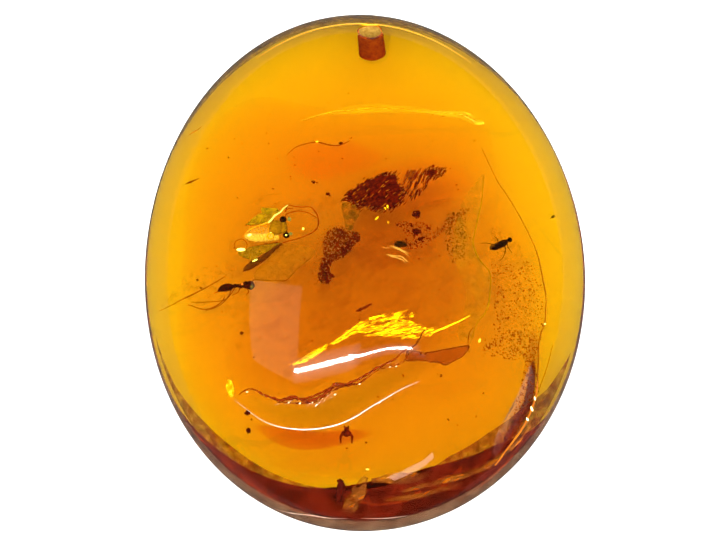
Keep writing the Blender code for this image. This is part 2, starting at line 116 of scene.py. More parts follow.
def add_node(tree, kind, links=(), **settings):
    """Adds a node; links are (input, socket) pairs, and settings name its inputs or its properties."""
    node = tree.nodes.new(kind)
    for key, value in settings.items():
        if hasattr(node, key):
            setattr(node, key, value)
        else:
            node.inputs[key.replace("_", " ")].default_value = value
    for name, socket in links:
        tree.links.new(socket, node.inputs[name])
    return node


def new_material(name):
    """A new material, its node tree, its shader and its output."""
    mat = bpy.data.materials.new(name)
    mat.use_nodes = True
    tree = mat.node_tree
    return mat, tree, tree.nodes["Principled BSDF"], tree.nodes["Material Output"]


def speckle(tree, size, low, high, detail=3.0, distortion=0.0, lean=0.0, long=1.0):
    """Noise from 0 to 1 between low and high: lumps size mm wide, drawn out long times along lean degrees."""
    place = add_node(tree, "ShaderNodeTexCoord")
    turned = add_node(tree, "ShaderNodeVectorRotate", [("Vector", place.outputs["Object"])],
                      rotation_type="Z_AXIS", Angle=math.radians(-lean))
    drawn = add_node(tree, "ShaderNodeVectorMath", [(0, turned.outputs[0])], operation="MULTIPLY")
    drawn.inputs[1].default_value = (1.0 / long, 1.0, 1.0)
    lumps = add_node(tree, "ShaderNodeTexNoise", [("Vector", drawn.outputs[0])],
                     Scale=1.0 / (size * MM), Detail=detail, Distortion=distortion)
    spread = add_node(tree, "ShaderNodeMapRange", [("Value", lumps.outputs["Fac"])],
                      From_Min=low, From_Max=high)
    return spread.outputs[0]


def mottle(tree, shader, colours, places, *grain, **drawn):
    """Colours the surface in lumps; each colour stands at its place from 0 to 1."""
    lumps = speckle(tree, *grain, **drawn)
    shades = add_node(tree, "ShaderNodeValToRGB", [("Fac", lumps)])
    stops = shades.color_ramp.elements
    while len(stops) < len(colours):
        stops.new(0.5)
    for stop, place, colour in zip(stops, places, colours):
        stop.position = place
        stop.color = linear(colour)
    tree.links.new(shades.outputs["Color"], shader.inputs["Base Color"])


def dry_material(name, grain, colours, roughness, relief=0.02, gleam=0.06, places=(0.0, 1.0)):
    """Bark, dirt, dust or skin: mottled at its grain, with a fine relief; both are in mm.

    A real grain of this kind is often finer, and is drawn as coarse as it needs to show.
    """
    mat, tree, shader, _ = new_material(name)
    mottle(tree, shader, colours, places, grain, 0.3, 0.7)
    shader.inputs["Roughness"].default_value = roughness
    shader.inputs["Specular IOR Level"].default_value = gleam
    fine = speckle(tree, grain * 0.4, 0.2, 0.8)
    raised = add_node(tree, "ShaderNodeBump", [("Height", fine)], Strength=0.6, Distance=relief * MM)
    tree.links.new(raised.outputs["Normal"], shader.inputs["Normal"])
    return mat


def veil_material(name, colours, grain, thin, thick, roughness=0.5, metallic=0.0, lean=0.0, long=1.0,
                  places=(0.2, 0.8)):
    """A film so thin that it shows only in patches: alpha runs from thin to thick with noise."""
    mat, tree, shader, _ = new_material(name)
    mottle(tree, shader, colours, places, grain, 0.35, 0.65, detail=5.0, lean=lean, long=long)
    patches = speckle(tree, grain * 0.6, 0.35, 0.68, detail=6.0, lean=lean, long=long)
    cover = add_node(tree, "ShaderNodeMapRange", [("Value", patches)], To_Min=thin, To_Max=thick)
    tree.links.new(cover.outputs[0], shader.inputs["Alpha"])
    shader.inputs["Roughness"].default_value = roughness
    shader.inputs["Metallic"].default_value = metallic
    shader.inputs["Specular IOR Level"].default_value = 0.1
    return mat


def painted_glint_material(name, colour, strength):
    """A painted highlight on a crack or skin: it glows by emission, so bright that the amber over it can't
    take its white away.
    """
    mat, tree, shader, _ = new_material(name)
    shader.inputs["Base Color"].default_value = linear(colour)
    shader.inputs["Roughness"].default_value = 0.3
    shader.inputs["Emission Color"].default_value = linear(colour)
    shader.inputs["Emission Strength"].default_value = strength
    return mat


def clear_material(name, ior, losses):
    """Clear resin; losses are what it takes of red, green and blue per metre."""
    mat, tree, shader, output = new_material(name)
    shader.inputs["Base Color"].default_value = (1, 1, 1, 1)
    shader.inputs["Roughness"].default_value = 0.0
    shader.inputs["IOR"].default_value = ior
    shader.inputs["Transmission Weight"].default_value = 1.0
    top = max(losses)
    volume = add_node(tree, "ShaderNodeVolumeAbsorption", Density=top)
    volume.inputs["Color"].default_value = tuple(1 - loss / top for loss in losses) + (1,)
    tree.links.new(volume.outputs["Volume"], output.inputs["Volume"])
    return mat


def tint_material(name, *losses):
    """A layer of the amber itself, darker than the rest: it tints and doesn't bend the light."""
    return clear_material(name, 1.0, losses)


def amber_material():
    """Baltic amber, sanded and polished by hand: a clear, deep honey colour under a mirror finish."""
    return clear_material("baltic_amber_polished", AMBER_IOR, AMBER_LOSS)


# ---------------------------------------------------------------- the drop

def value_at(pairs, degrees):
    """The value at an angle, between the two nearest of a list of (degrees, value)."""
    for (a0, start), (a1, end) in zip(pairs, pairs[1:]):
        if a0 <= degrees <= a1:
            return start + (end - start) * (degrees - a0) / (a1 - a0)
    return pairs[-1][1]


def outline(angle):
    """Distance from the axis to the girdle in the direction angle, mm."""
    turned = angle - math.radians(OUTLINE_TURN)
    ellipse = HALF_WIDTH * HALF_LENGTH / math.hypot(HALF_LENGTH * math.cos(turned),
                                                    HALF_WIDTH * math.sin(turned))
    lean = OUTLINE_LEAN[0] * math.cos(angle + math.radians(OUTLINE_LEAN[1]))
    lobes = OUTLINE_THREE[0] * math.cos(3 * angle + math.radians(OUTLINE_THREE[1]))
    return ellipse * (1 + lean + lobes)


def blend_low(a, b, width):
    """The lower of two heights, rounded where they cross."""
    h = min(1.0, max(0.0, 0.5 + 0.5 * (b - a) / width))
    return b * (1 - h) + a * h - width * h * (1 - h)


def rounded_back(share):
    """Height of the back's rounded edge at a share of the outline, mm."""
    if share <= BACK_FLAT:
        return 0.0
    return GIRDLE_Z * (1 - math.sqrt(1 - ((share - BACK_FLAT) / (1 - BACK_FLAT)) ** 2))


def back_height(share, angle):
    """Height of the back at a share of the outline, mm."""
    start = value_at(BEVEL_STARTS, math.degrees(angle))
    beyond = max(0.0, share - start) * outline(angle)
    bevel = rounded_back(start) + math.tan(math.radians(BEVEL_SLOPE)) * beyond
    return max(rounded_back(share), bevel if beyond > 0 else 0.0)


def front_height(x, y):
    """Height of the polished front above the point x, y, mm."""
    angle = math.atan2(y, x)
    share = min(1.0, math.hypot(x, y) / outline(angle))
    low = back_height(1.0, angle)
    dome = low + (THICKNESS - low) * math.sqrt(1 - share ** DOME_POWER)
    cap_x, cap_y, cap_z = CAP_TOP
    cap = cap_z - ((x - cap_x) ** 2 + (y - cap_y) ** 2) / (2 * CAP_RADIUS)
    turn = math.radians(SLOPE_TURN)
    along = y * math.cos(turn) - x * math.sin(turn)
    slope = SLOPE_TOP + SLOPE_RISE * (along - SLOPE_OFFSET)
    return blend_low(blend_low(cap, slope, RIDGE_BLEND), dome, EDGE_BLEND)


def drop_profile():
    """Half section of the drop: shares of the outline, with 1 as height on the front and 0 on the back."""
    points = [(0.0, 0.0), (0.7, 0.0)]
    for i in range(BACK_RINGS + 1):
        points.append((1 - 0.26 * (1 - i / BACK_RINGS) ** 1.3, 0.0))
    for i in range(1, FRONT_RINGS + 1):
        a = math.pi / 2 * (1 - i / FRONT_RINGS)
        points.append((math.sin(a) ** (2 / DOME_POWER) if i < FRONT_RINGS else 0.0, 1.0))
    return points


def drop_mesh():
    """The half section spun round, then fitted to the outline and its heights."""
    bm = bmesh.new()
    verts = [bm.verts.new((share, 0.0, side)) for share, side in drop_profile()]
    edges = [bm.edges.new(pair) for pair in zip(verts, verts[1:])]
    bmesh.ops.spin(bm, geom=verts + edges, axis=(0, 0, 1), cent=(0, 0, 0), angle=TAU,
                   steps=AROUND, use_merge=True)
    bmesh.ops.remove_doubles(bm, verts=bm.verts, dist=1e-5)
    for v in bm.verts:
        share = min(1.0, math.hypot(v.co.x, v.co.y))
        angle = math.atan2(v.co.y, v.co.x)
        x = outline(angle) * share * math.cos(angle)
        y = outline(angle) * share * math.sin(angle)
        z = front_height(x, y) if v.co.z > 0.5 else back_height(share, angle)
        v.co = Vector((x, y, z)) * MM
    return bm


def object_from(bm, name, *mats, smooth=True, sharp=40.0):
    """An object from a mesh in metres; edges sharper than sharp degrees stay crisp."""
    bmesh.ops.recalc_face_normals(bm, faces=bm.faces)
    mesh = bpy.data.meshes.new(name)
    bm.to_mesh(mesh)
    bm.free()
    for mat in mats:
        mesh.materials.append(mat)
    if smooth:
        mesh.shade_smooth()
        mesh.set_sharp_from_angle(angle=math.radians(sharp))
    ob = bpy.data.objects.new(name, mesh)
    bpy.context.scene.collection.objects.link(ob)
    return ob


def show(ob, slot, *nodes):
    """Puts a piece of the drop on the frame's one body, and hides the nodes it stands for; slot is not used.
    """
    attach(ob, "root")
    if nodes:
        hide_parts(*nodes)


def cut(ob, cutter):
    """Takes the cutter's form out of a solid, and removes the cutter."""
    mod = ob.modifiers.new("cut", "BOOLEAN")
    mod.operation = "DIFFERENCE"
    mod.solver = "EXACT"
    mod.object = cutter
    graph = bpy.context.evaluated_depsgraph_get()
    mesh = bpy.data.meshes.new_from_object(ob.evaluated_get(graph))
    ob.modifiers.clear()
    old = ob.data
    ob.data = mesh
    mesh.name = old.name
    bpy.data.meshes.remove(old)
    bpy.data.objects.remove(cutter, do_unlink=True)


def amber_drop():
    """The one clear piece, in place of the solid's two halves, with its peg hole and its chip."""
    amber = amber_material()
    drop = object_from(drop_mesh(), "amber_drop", amber)
    cut(drop, peg_hole_cutter(amber))
    cut(drop, chip_cutter(amber))
    show(drop, "amber", "amber_front", "amber_back")


# ---------------------------------------------------------------- shaping helpers

def at_surface(x, y, depth=0.0):
    """A point in mm, this far below the polished front."""
    return Vector((x, y, front_height(x, y) - depth))


def lifted(points, height):
    """Flat points at one height, mm; a negative height is a depth below the polished front."""
    if height < 0:
        return [at_surface(x, y, -height) for x, y in points]
    return [Vector((x, y, height)) for x, y in points]


def smooth_line(points, parts=4, closed=False):
    """More points on a smooth line through the given ones."""
    spots = [Vector(p) for p in points]
    if closed:
        spots = [spots[-1]] + spots + spots[:2]
    else:
        spots = [2 * spots[0] - spots[1]] + spots + [2 * spots[-1] - spots[-2]]
    line = []
    for a, b, c, d in zip(spots, spots[1:], spots[2:], spots[3:]):
        for i in range(parts):
            t = i / parts
            line.append(0.5 * (2 * b + (c - a) * t + (2 * a - 5 * b + 4 * c - d) * t ** 2
                               + (3 * b - a - 3 * c + d) * t ** 3))
    if not closed:
        line.append(spots[-2])
    return line


def between(values, share):
    """The value at a share of the way through a list of values."""
    place = share * (len(values) - 1)
    low = min(int(place), len(values) - 2)
    return values[low] + (values[low + 1] - values[low]) * (place - low)


def circle(steps, count=None):
    """Angles round a full turn."""
    return [TAU * k / steps for k in range(count or steps)]


def bridge_rings(bm, rings):
    """Closed loops of points joined one to the next, with both ends capped."""
    loops = []
    for ring in rings:
        verts = [bm.verts.new(p) for p in ring]
        edges = [bm.edges.new((a, b)) for a, b in zip(verts, verts[1:] + verts[:1])]
        loops.append((verts, edges))
    for (_, a), (_, b) in zip(loops, loops[1:]):
        bmesh.ops.bridge_loops(bm, edges=a + b)
    for verts, _ in (loops[0], loops[-1]):
        bmesh.ops.contextual_create(bm, geom=verts)
    return [v for verts, _ in loops for v in verts]


def tube(bm, points, radii, sides=8, flat=1.0):
    """A limb, vein or thread along points in mm; flat squeezes it in height."""
    rings = []
    last = len(points) - 1
    for i, spot in enumerate(points):
        ahead = (points[min(i + 1, last)] - points[max(i - 1, 0)]).normalized()
        side = ahead.cross(Vector((0, 0, 1))).normalized()
        up = side.cross(ahead)
        radius = between(radii, i / last)
        rings.append([spot + (side * math.cos(a) + up * math.sin(a) * flat) * radius for a in circle(sides)])
    return bridge_rings(bm, rings)


def roughen(verts, grain, amount, seed=0.0):
    """Pushes vertices in and out by noise; grain and amount are in mm."""
    shift = Vector((seed * 3.1, seed * 1.7, seed * 0.9))
    for v in verts:
        v.co += noise.noise_vector(v.co / grain + shift) * amount


def strand(bm, line, radii, parts=5, sides=6, flat=1.0, rough=None, seed=0.0):
    """A tube on a smooth line through a few points; rough is its relief's grain and amount, mm."""
    verts = tube(bm, smooth_line(line, parts), radii, sides=sides, flat=flat)
    if rough:
        roughen(verts, *rough, seed)


def ball(bm, centre, radii, turn=0.0, detail=3, rough=None, seed=0.0):
    """A round lump with three half sizes in mm, roughened as a strand is."""
    place = (Matrix.Translation(centre) @ Matrix.Rotation(math.radians(turn), 4, "Z")
             @ Matrix.Diagonal((*radii, 1.0)))
    verts = bmesh.ops.create_icosphere(bm, subdivisions=detail, radius=1.0, matrix=place)["verts"]
    if rough:
        roughen(verts, *rough, seed)
    return verts


def film(bm, outline_points, height, thickness, tilt=(0.0, 0.0), cuts=1, relief=0.0, seed=0.0):
    """A thin closed sheet from its outline, in mm; tilt raises it per mm along X and Y."""
    before = set(bm.faces)
    x0, y0 = outline_points[0][:2]
    spots = lifted([p[:2] for p in outline_points], height)
    face = bm.faces.new([bm.verts.new(p) for p in spots])
    faces = bmesh.ops.triangulate(bm, faces=[face])["faces"]
    edges = list(dict.fromkeys(e for f in faces for e in f.edges))
    bmesh.ops.subdivide_edges(bm, edges=edges, cuts=cuts, use_grid_fill=True)
    region = [f for f in bm.faces if f not in before]
    low = list(dict.fromkeys(v for f in region for v in f.verts))
    shift = Vector((seed * 2.3, seed, 0))
    for v in low:
        v.co.z += tilt[0] * (v.co.x - x0) + tilt[1] * (v.co.y - y0)
        v.co.z += relief * noise.noise(v.co * 1.3 + shift)
    made = bmesh.ops.extrude_face_region(bm, geom=region)
    top = [g for g in made["geom"] if isinstance(g, bmesh.types.BMVert)]
    bmesh.ops.translate(bm, vec=(0, 0, thickness), verts=top)
    return low + top


def piece(bm, name, slot, *mats, nodes=(), sharp=40.0):
    """Turns a mesh in mm into a finished piece of the drop."""
    bmesh.ops.transform(bm, matrix=Matrix.Scale(MM, 4), verts=bm.verts)
    show(object_from(bm, name, *mats, sharp=sharp), slot, *nodes)


def sheet(name, slot, mat, boundary, *sizes, parts=0, sharp=40.0, **form):
    """One film as a piece; parts above 0 rounds its outline."""
    bm = bmesh.new()
    film(bm, smooth_line(boundary, parts, closed=True) if parts else boundary, *sizes, **form)
    piece(bm, name, slot, mat, sharp=sharp)


def mark(bm, start, index):
    """Gives the faces made since the count start the material at index, and returns the new count."""
    bm.faces.ensure_lookup_table()
    for face in bm.faces[start:]:
        face.material_index = index
    return len(bm.faces)


def pebble():
    """The form of a crumb."""
    bm = bmesh.new()
    bmesh.ops.create_icosphere(bm, subdivisions=1, radius=1.0)
    return bm


def splinter():
    """The form of a fibre, thinner at one end."""
    bm = bmesh.new()
    bmesh.ops.create_cone(bm, cap_ends=True, segments=5, radius1=0.62, radius2=0.3, depth=2.0,
                          matrix=Matrix.Rotation(math.pi / 2, 4, "Y"))
    return bm


def scattered(name, shape, places, slot, *mats, nodes=(), kinds=None):
    """Copies of one small closed shape, joined in one mesh; places are matrices in mm."""
    sides = len(shape.faces)
    bmesh.ops.recalc_face_normals(shape, faces=shape.faces)
    single = bpy.data.meshes.new("single")
    shape.to_mesh(single)
    shape.free()
    bm = bmesh.new()
    for place in places:
        copy = single.copy()
        copy.transform(place)
        bm.from_mesh(copy)
        bpy.data.meshes.remove(copy)
    bpy.data.meshes.remove(single)
    for i, face in enumerate(bm.faces):
        face.material_index = kinds[i // sides] if kinds else 0
    bmesh.ops.transform(bm, matrix=Matrix.Scale(MM, 4), verts=bm.verts)
    show(object_from(bm, name, *mats, smooth=False), slot, *nodes)


def placed(rng, x, y, z, size, long=1.0, turn=None, flat=0.6, wobble=0.5):
    """A matrix for one crumb or splinter, with a little chance in its turn and shape."""
    turn = rng.uniform(0, 360) if turn is None else turn + rng.uniform(-14, 14)
    shape = Matrix.Diagonal((size * long * rng.uniform(0.7, 1.3), size * rng.uniform(0.7, 1.3),
                             size * flat * rng.uniform(0.7, 1.3), 1.0))
    return (Matrix.Translation((x, y, z)) @ Matrix.Rotation(math.radians(turn), 4, "Z")
            @ Matrix.Rotation(rng.uniform(-wobble, wobble), 4, "X") @ shape)


def either(rng, share):
    """0 at the chance share, and 1 otherwise."""
    return 0 if rng.random() < share else 1


def within(region, x, y):
    """True where x, y is inside a closed outline of flat points."""
    inside = False
    for (x0, y0), (x1, y1) in zip(region, region[1:] + region[:1]):
        if (y0 > y) != (y1 > y) and x < x0 + (x1 - x0) * (y - y0) / (y1 - y0):
            inside = not inside
    return inside


def chance_points(rng, region, count, weight=None):
    """Seeded points inside an outline, thinned where weight is low."""
    xs = [p[0] for p in region]
    ys = [p[1] for p in region]
    spots = []
    while len(spots) < count:
        x = rng.uniform(min(xs), max(xs))
        y = rng.uniform(min(ys), max(ys))
        if within(region, x, y) and (weight is None or rng.random() < weight(x, y)):
            spots.append((x, y))
    return spots


# ---------------------------------------------------------------- layers of the resin

def lens(bm, boundary, centre, low, high, soft):
    """A closed lens of resin, flat in its middle; soft is the share of it that thins to the edge."""
    ring = smooth_line(boundary, parts=5, closed=True)
    middle = Vector(centre)
    shares = [1 - soft * k for k in (0.0, 0.03, 0.09, 0.2, 0.38, 0.6, 0.85)]
    half = (high - low) / 2
    rings = []
    for side in (-1, 1):
        part = []
        for share in shares if side < 0 else shares[1:]:
            rise = math.sqrt(max(0.0, 1 - (max(0.0, share - 1 + soft) / soft) ** 2))
            part.append([Vector((middle.x + (p.x - middle.x) * share, middle.y + (p.y - middle.y) * share,
                                 low + half + side * half * rise)) for p in ring])
        rings += part[::-1] if side < 0 else part
    bridge_rings(bm, rings)


def resin_layers():
    """The first run of resin, which the last one closed over, and the stains in both."""
    for name, resin, losses, lenses in RESIN_LAYERS:
        bm = bmesh.new()
        for boundary, centre, low, high, soft in lenses:
            lens(bm, boundary, centre, low, high, soft)
        piece(bm, name, "amber", tint_material(resin, *losses))


INNER_FLOW = [
    (9.1, 10.4), (10.0, 6.5), (11.0, 4.3), (12.2, 2.0), (13.0, 0.1), (13.5, -1.9), (13.75, -3.9),
    (13.45, -6.0), (13.2, -8.2), (13.1, -10.4), (12.7, -11.9), (12.0, -13.4), (11.0, -14.4), (8.5, -15.6),
    (4.5, -16.6), (0.0, -16.9), (-6.0, -16.0), (-10.5, -13.4), (-12.9, -10.5), (-13.8, -7.8), (-14.0, -4.7),
    (-13.6, 0.7), (-13.6, 4.5), (-12.9, 8.0), (-11.0, 11.2), (-8.0, 12.6), (-4.8, 11.9), (-1.0, 11.4),
    (3.5, 11.3), (7.0, 11.1)
]
ORANGE_PATCH = [
    (-5.88, 7.8), (-5.17, 8.4), (-3.75, 8.8), (-2.8, 8.6), (-1.97, 8.55), (-1.13, 8.9), (0.3, 8.3),
    (1.6, 7.6), (0.6, 6.6), (-1.2, 6.2), (-3.0, 5.7), (-4.6, 5.9), (-5.8, 6.6)
]
BARK_SHADE = [
    (-1.5, 4.2), (0.6, 5.2), (3.0, 5.9), (5.4, 5.9), (7.2, 5.6), (7.6, 3.0), (6.0, 0.5), (3.0, -1.0),
    (0.0, -1.2), (-2.0, 0.4), (-1.2, 2.2)
]
MIDDLE_SHADE = [
    (-3.5, 1.5), (0.0, 3.2), (4.5, 3.0), (7.8, 0.5), (8.3, -3.0), (6.5, -6.6), (3.0, -7.6), (-1.5, -8.8),
    (-5.6, -10.6), (-9.0, -10.2), (-10.2, -7.0), (-8.0, -3.2), (-5.6, -0.8)
]
LIP_SHADE = [
    (-8.2, -13.0), (-6.8, -14.3), (-4.6, -14.9), (-1.8, -14.6), (0.6, -13.7), (-0.8, -13.3), (-3.4, -13.5),
    (-6.0, -13.2)
]
BRIGHT_SHADE = [
    (0.5, 6.4), (2.6, 7.2), (5.0, 7.6), (7.4, 6.9), (8.2, 5.4), (6.6, 4.2), (4.4, 3.4), (2.0, 3.2),
    (0.4, 4.0)
]
BROWN_FLOW = [
    (12.7, -5.4), (13.15, -6.4), (13.1, -8.0), (13.05, -10.0), (12.6, -11.6), (11.8, -13.1), (10.9, -14.4),
    (9.8, -15.8), (9.1, -15.3), (10.2, -13.6), (11.1, -12.1), (11.75, -10.0), (12.1, -8.0), (12.3, -6.7)
]
# Resin darkens with age, sun and sap, so each layer takes more of the light than clear amber does.
# Each one: its piece, its resin, what it takes of red, green and blue per metre, and its lenses, with
# their outline, middle, bottom, top and soft share.
RESIN_LAYERS = [
    ("inner_flow", "older_orange_resin", (5, 36, 90), [(INNER_FLOW, (-0.5, -2.5), 1.9, 6.6, 0.2)]),
    ("orange_stains", "orange_stained_resin", (90, 190, 250),
     [(BARK_SHADE, (3.0, 2.6), 3.8, 4.9, 0.75), (MIDDLE_SHADE, (-1.5, -4.5), 2.6, 3.7, 0.75)]),
    ("orange_patch", "orange_flake_resin", (10, 330, 400),
     [(ORANGE_PATCH, (-2.6, 7.4), 5.4, 6.2, 0.5), (BRIGHT_SHADE, (4.0, 5.4), 5.0, 5.6, 0.6)]),
    ("lip_shade", "red_stained_resin", (260, 1100, 300), [(LIP_SHADE, (-3.4, -13.9), 4.8, 5.5, 0.8)]),
    ("brown_flow", "brown_resin", (90, 180, 200), [(BROWN_FLOW, (11.9, -10.9), 3.6, 6.4, 0.5)]),
]


def brown_wedge():
    """Painted shade at the chip's right end: a darker wedge of tint where its wall is seen at a slant."""
    resin = tint_material("painted_wedge_shade_resin", 900, 1900, 2400)
    sheet("brown_wedge", "amber", resin, WEDGE, 7.75, 0.5, tilt=(0.0, 0.05), cuts=0)


def olive_patch():
    """A small cloud between the bark and the crumbs: resin gone milky, which reads olive in amber."""
    cloud = veil_material("olive_resin_cloud", ("#7A6A10", "#5A4E10"), 0.8, 0.0, 0.5)
    sheet("olive_patch", "amber", cloud, OLIVE_PATCH, 5.0, 0.06, parts=3, relief=0.15)


WEDGE = [
    (3.0, -8.44), (3.49, -7.87), (4.53, -7.97), (5.66, -7.78), (6.8, -7.59), (7.79, -7.43), (7.79, -7.68),
    (7.37, -8.25), (6.8, -8.54), (6.04, -8.92), (5.66, -8.73), (4.91, -8.64), (3.96, -8.54), (3.21, -8.6)
]
OLIVE_PATCH = [
    (-1.63, 4.05), (-0.56, 3.85), (-0.37, 3.2), (-0.74, 2.55), (-1.0, 1.9), (-1.44, 2.03), (-1.56, 2.68),
    (-1.75, 3.46)
]


def outline_point(degrees, inset):
    """The place inset mm inside the outline in a direction."""
    angle = math.radians(degrees)
    radius = outline(angle) - inset
    return radius * math.cos(angle), radius * math.sin(angle)


def under_polish(x, y, depth):
    """The point depth mm inside the front at x, y, measured square to the surface."""
    step = 0.02
    across = (front_height(x + step, y) - front_height(x - step, y)) / (2 * step)
    along = (front_height(x, y + step) - front_height(x, y - step)) / (2 * step)
    return Vector((x, y, front_height(x, y))) - Vector((-across, -along, 1.0)).normalized() * depth


def under_skin(bm, reaches, start, depth, share):
    """A film under the polish, from start mm inside the outline to a share of its reach."""
    first, last = reaches[0][0], reaches[-1][0]
    count = int((last - first) / 2)
    rings = []
    for i in range(count + 1):
        degrees = first + (last - first) * i / count
        reach = max(start + 0.03, value_at(reaches, degrees) * share)
        places = [outline_point(degrees, start + (reach - start) * k / 10) for k in range(11)]
        upper = [under_polish(x, y, depth) for x, y in places]
        lower = [under_polish(x, y, depth + 0.012) for x, y in places]
        rings.append(upper + lower[::-1])
    bridge_rings(bm, rings)


def painted_rim_bands():
    """Painted shade and reflection at the rim: olive and grey in three films each, which fade inwards, red in
    one.
    """
    # Painted rim bands: the olive and rust red films stand in for the shade that the rim shows, and the grey
    # one for the floor's reflection on the lower edge. All are dull.
    olive = veil_material("painted_olive_rim_shade", ("#785008", "#543204"), 1.2, 0.3, 0.52, 0.8)
    red = veil_material("painted_red_rim_shade", ("#821A02", "#5C0C00"), 1.4, 0.25, 0.65, 0.8)
    grey = veil_material("painted_grey_rim_reflection", ("#9A7050", "#7A5034"), 1.2, 0.25, 0.5, 0.9)
    for name, reaches, mat in (("olive_rim", OLIVE_REACH, olive), ("grey_rim", GREY_REACH, grey)):
        for layer, share in enumerate((1.0, 0.72, 0.45)):
            bm = bmesh.new()
            under_skin(bm, reaches, 0.02, 0.03 + 0.03 * layer, share)
            piece(bm, "%s_%d" % (name, layer), "amber", mat)
    bm = bmesh.new()
    under_skin(bm, BAND_REACH, 0.45, 0.3, 1.0)
    piece(bm, "red_rim", "amber", red)


def rim_gleam():
    """A painted highlight that glows: the bright line inside the rim, right of the peg hole, where the edge
    gathers the light.
    """
    bm = bmesh.new()
    path = [at_surface(*outline_point(62 + 1.4 * k, 1.8), 0.3) for k in range(41)]
    tube(bm, path, [0.01, 0.05, 0.07, 0.08, 0.07, 0.05, 0.01])
    piece(bm, "rim_gleam", "amber", painted_glint_material("bright_rim_line", "#FFB820", 0.55))


# How far each painted rim band reaches in from the outline: (angle in degrees, mm).
OLIVE_REACH = [
    (0, 0.1), (30, 0.22), (48, 0.6), (62, 1.1), (80, 1.5), (100, 1.6), (118, 1.4), (133, 0.95), (150, 0.4),
    (200, 0.1)
]
GREY_REACH = [
    (-175, 0.1), (-150, 0.25), (-134, 0.4), (-105, 0.62), (-68, 0.6), (-45, 0.4), (-20, 0.2), (0, 0.1)
]
BAND_REACH = [
    (-160, 0.46), (-146, 0.75), (-134, 1.35), (-124, 1.8), (-105, 2.35), (-90, 2.85), (-68, 3.45),
    (-56, 3.0), (-45, 2.2), (-36, 1.2), (-24, 0.46)
]


def hazy_middle():
    """Faint brown clouds below the animals and the bark."""
    # Fine bubbles and wood dust in the resin: a matt haze, drawn out along the flow.
    haze = veil_material("hazy_resin_cloud", ("#B8600A", "#8A4606"), 1.8, -0.08, 0.1, 0.9, lean=30, long=1.8)
    sheet("hazy_cloud", "amber", haze, HAZE, 3.6, 0.06, parts=3, relief=0.3, cuts=2)
    # The same with coarser dust, so it is spotted.
    dusty = veil_material("dusty_resin_cloud", ("#A86A0C", "#7A4A08"), 0.5, -0.1, 0.16, 0.9)
    sheet("dusty_cloud", "dirt", dusty, RIGHT_HAZE, 4.4, 0.06, parts=3, relief=0.2, cuts=2)


HAZE = [
    (-9.0, 4.0), (-4.0, 5.0), (2.0, 3.6), (7.0, 4.6), (10.0, 1.0), (9.6, -4.0), (6.0, -8.0), (0.0, -9.0),
    (-5.0, -9.6), (-9.0, -7.6), (-10.4, -3.0)
]
RIGHT_HAZE = [(9.4, 2.0), (11.2, 1.4), (12.4, -1.4), (12.8, -4.6), (12.2, -7.6), (10.4, -6.6), (9.6, -3.4)]


def olive_veil():
    """A thin cloudy skin between two runs of resin, with a pale edge."""
    # The dried face of one run: milky, and olive seen through amber.
    skin = veil_material("cloudy_flow_skin", ("#C8901C", "#94781C"), 1.1, 0.04, 0.3)
    sheet("olive_veil", "amber", skin, VEIL, 6.3, 0.06, parts=3, tilt=(-0.03, 0.02), relief=0.15, cuts=2)
    bm = bmesh.new()
    strand(bm, lifted(VEIL_EDGE, 6.35), [0.015, 0.035, 0.03, 0.045, 0.03, 0.05, 0.03, 0.02], flat=0.6,
           rough=(0.4, 0.05))
    piece(bm, "veil_edge", "amber", dry_material("pale_flow_edge", 0.3, ("#B9A436", "#8E7420"), 0.5))


VEIL = [
    (8.99, 6.2), (9.0, 5.4), (8.83, 4.08), (8.44, 2.25), (8.18, 0.69), (8.67, -0.6), (9.41, -1.61),
    (9.4, -3.16), (9.14, -4.44), (8.39, -5.47), (7.9, -7.0), (6.9, -6.3), (7.4, -4.8), (7.6, -3.0),
    (7.0, -1.4), (6.6, 0.3), (6.9, 2.4), (7.6, 4.4)
]
VEIL_EDGE = [
    (8.99, 6.0), (8.83, 4.08), (8.44, 2.25), (8.18, 0.69), (8.67, -0.6), (9.41, -1.61), (9.4, -3.16),
    (9.14, -4.44), (8.39, -5.47), (8.0, -6.6)
]


def flow_seams():
    """Where one run of resin met the next: thin dark seams."""
    bm = bmesh.new()
    strand(bm, lifted(FLOW_SEAM, 5.6), [0.02, 0.03, 0.045, 0.05, 0.06, 0.08, 0.05], rough=(0.5, 0.05))
    strand(bm, lifted(SECOND_SEAM, 5.2), [0.02, 0.035, 0.03, 0.02], rough=(0.4, 0.04), seed=3)
    for seed, line in enumerate(FINE_SEAMS):
        strand(bm, lifted(line, 5.0), [0.02, 0.045, 0.025], parts=4, rough=(0.35, 0.05), seed=seed)
    # Dust that settled on a drying skin: a brown line with no shine.
    piece(bm, "flow_seams", "dirt", dry_material("dark_resin_seam", 0.25, ("#7A3A04", "#A85C08"), 0.5))


def top_arc():
    """A crack towards the drilled end, seen edge on, with a painted yellow glow along it for the shine of the
    air in it.
    """
    arc = lifted(TOP_ARC, 7.4)
    bm = bmesh.new()
    strand(bm, arc, [0.02, 0.05, 0.07, 0.06, 0.04, 0.05, 0.12, 0.05], flat=0.5, rough=(0.5, 0.04))
    # Air against amber mirrors the light like metal, tinted gold by the resin over it.
    gold = veil_material("gold_air_film", ("#FFD83A", "#F0A800"), 0.4, 0.0, 0.5, 0.3, 1.0)
    piece(bm, "top_arc", "amber", gold)
    bm = bmesh.new()
    strand(bm, arc, [0.05, 0.28, 0.36, 0.3, 0.2, 0.3, 0.4, 0.1], sides=12, flat=0.1)
    # A wide yellow film as a painted glow: the soft bright band along the crack.
    shine = veil_material("painted_yellow_arc_glow", ("#FFE024", "#F0B808"), 0.9, -0.05, 0.26, 0.6, lean=5, long=6)
    piece(bm, "top_arc_glow", "amber", shine)


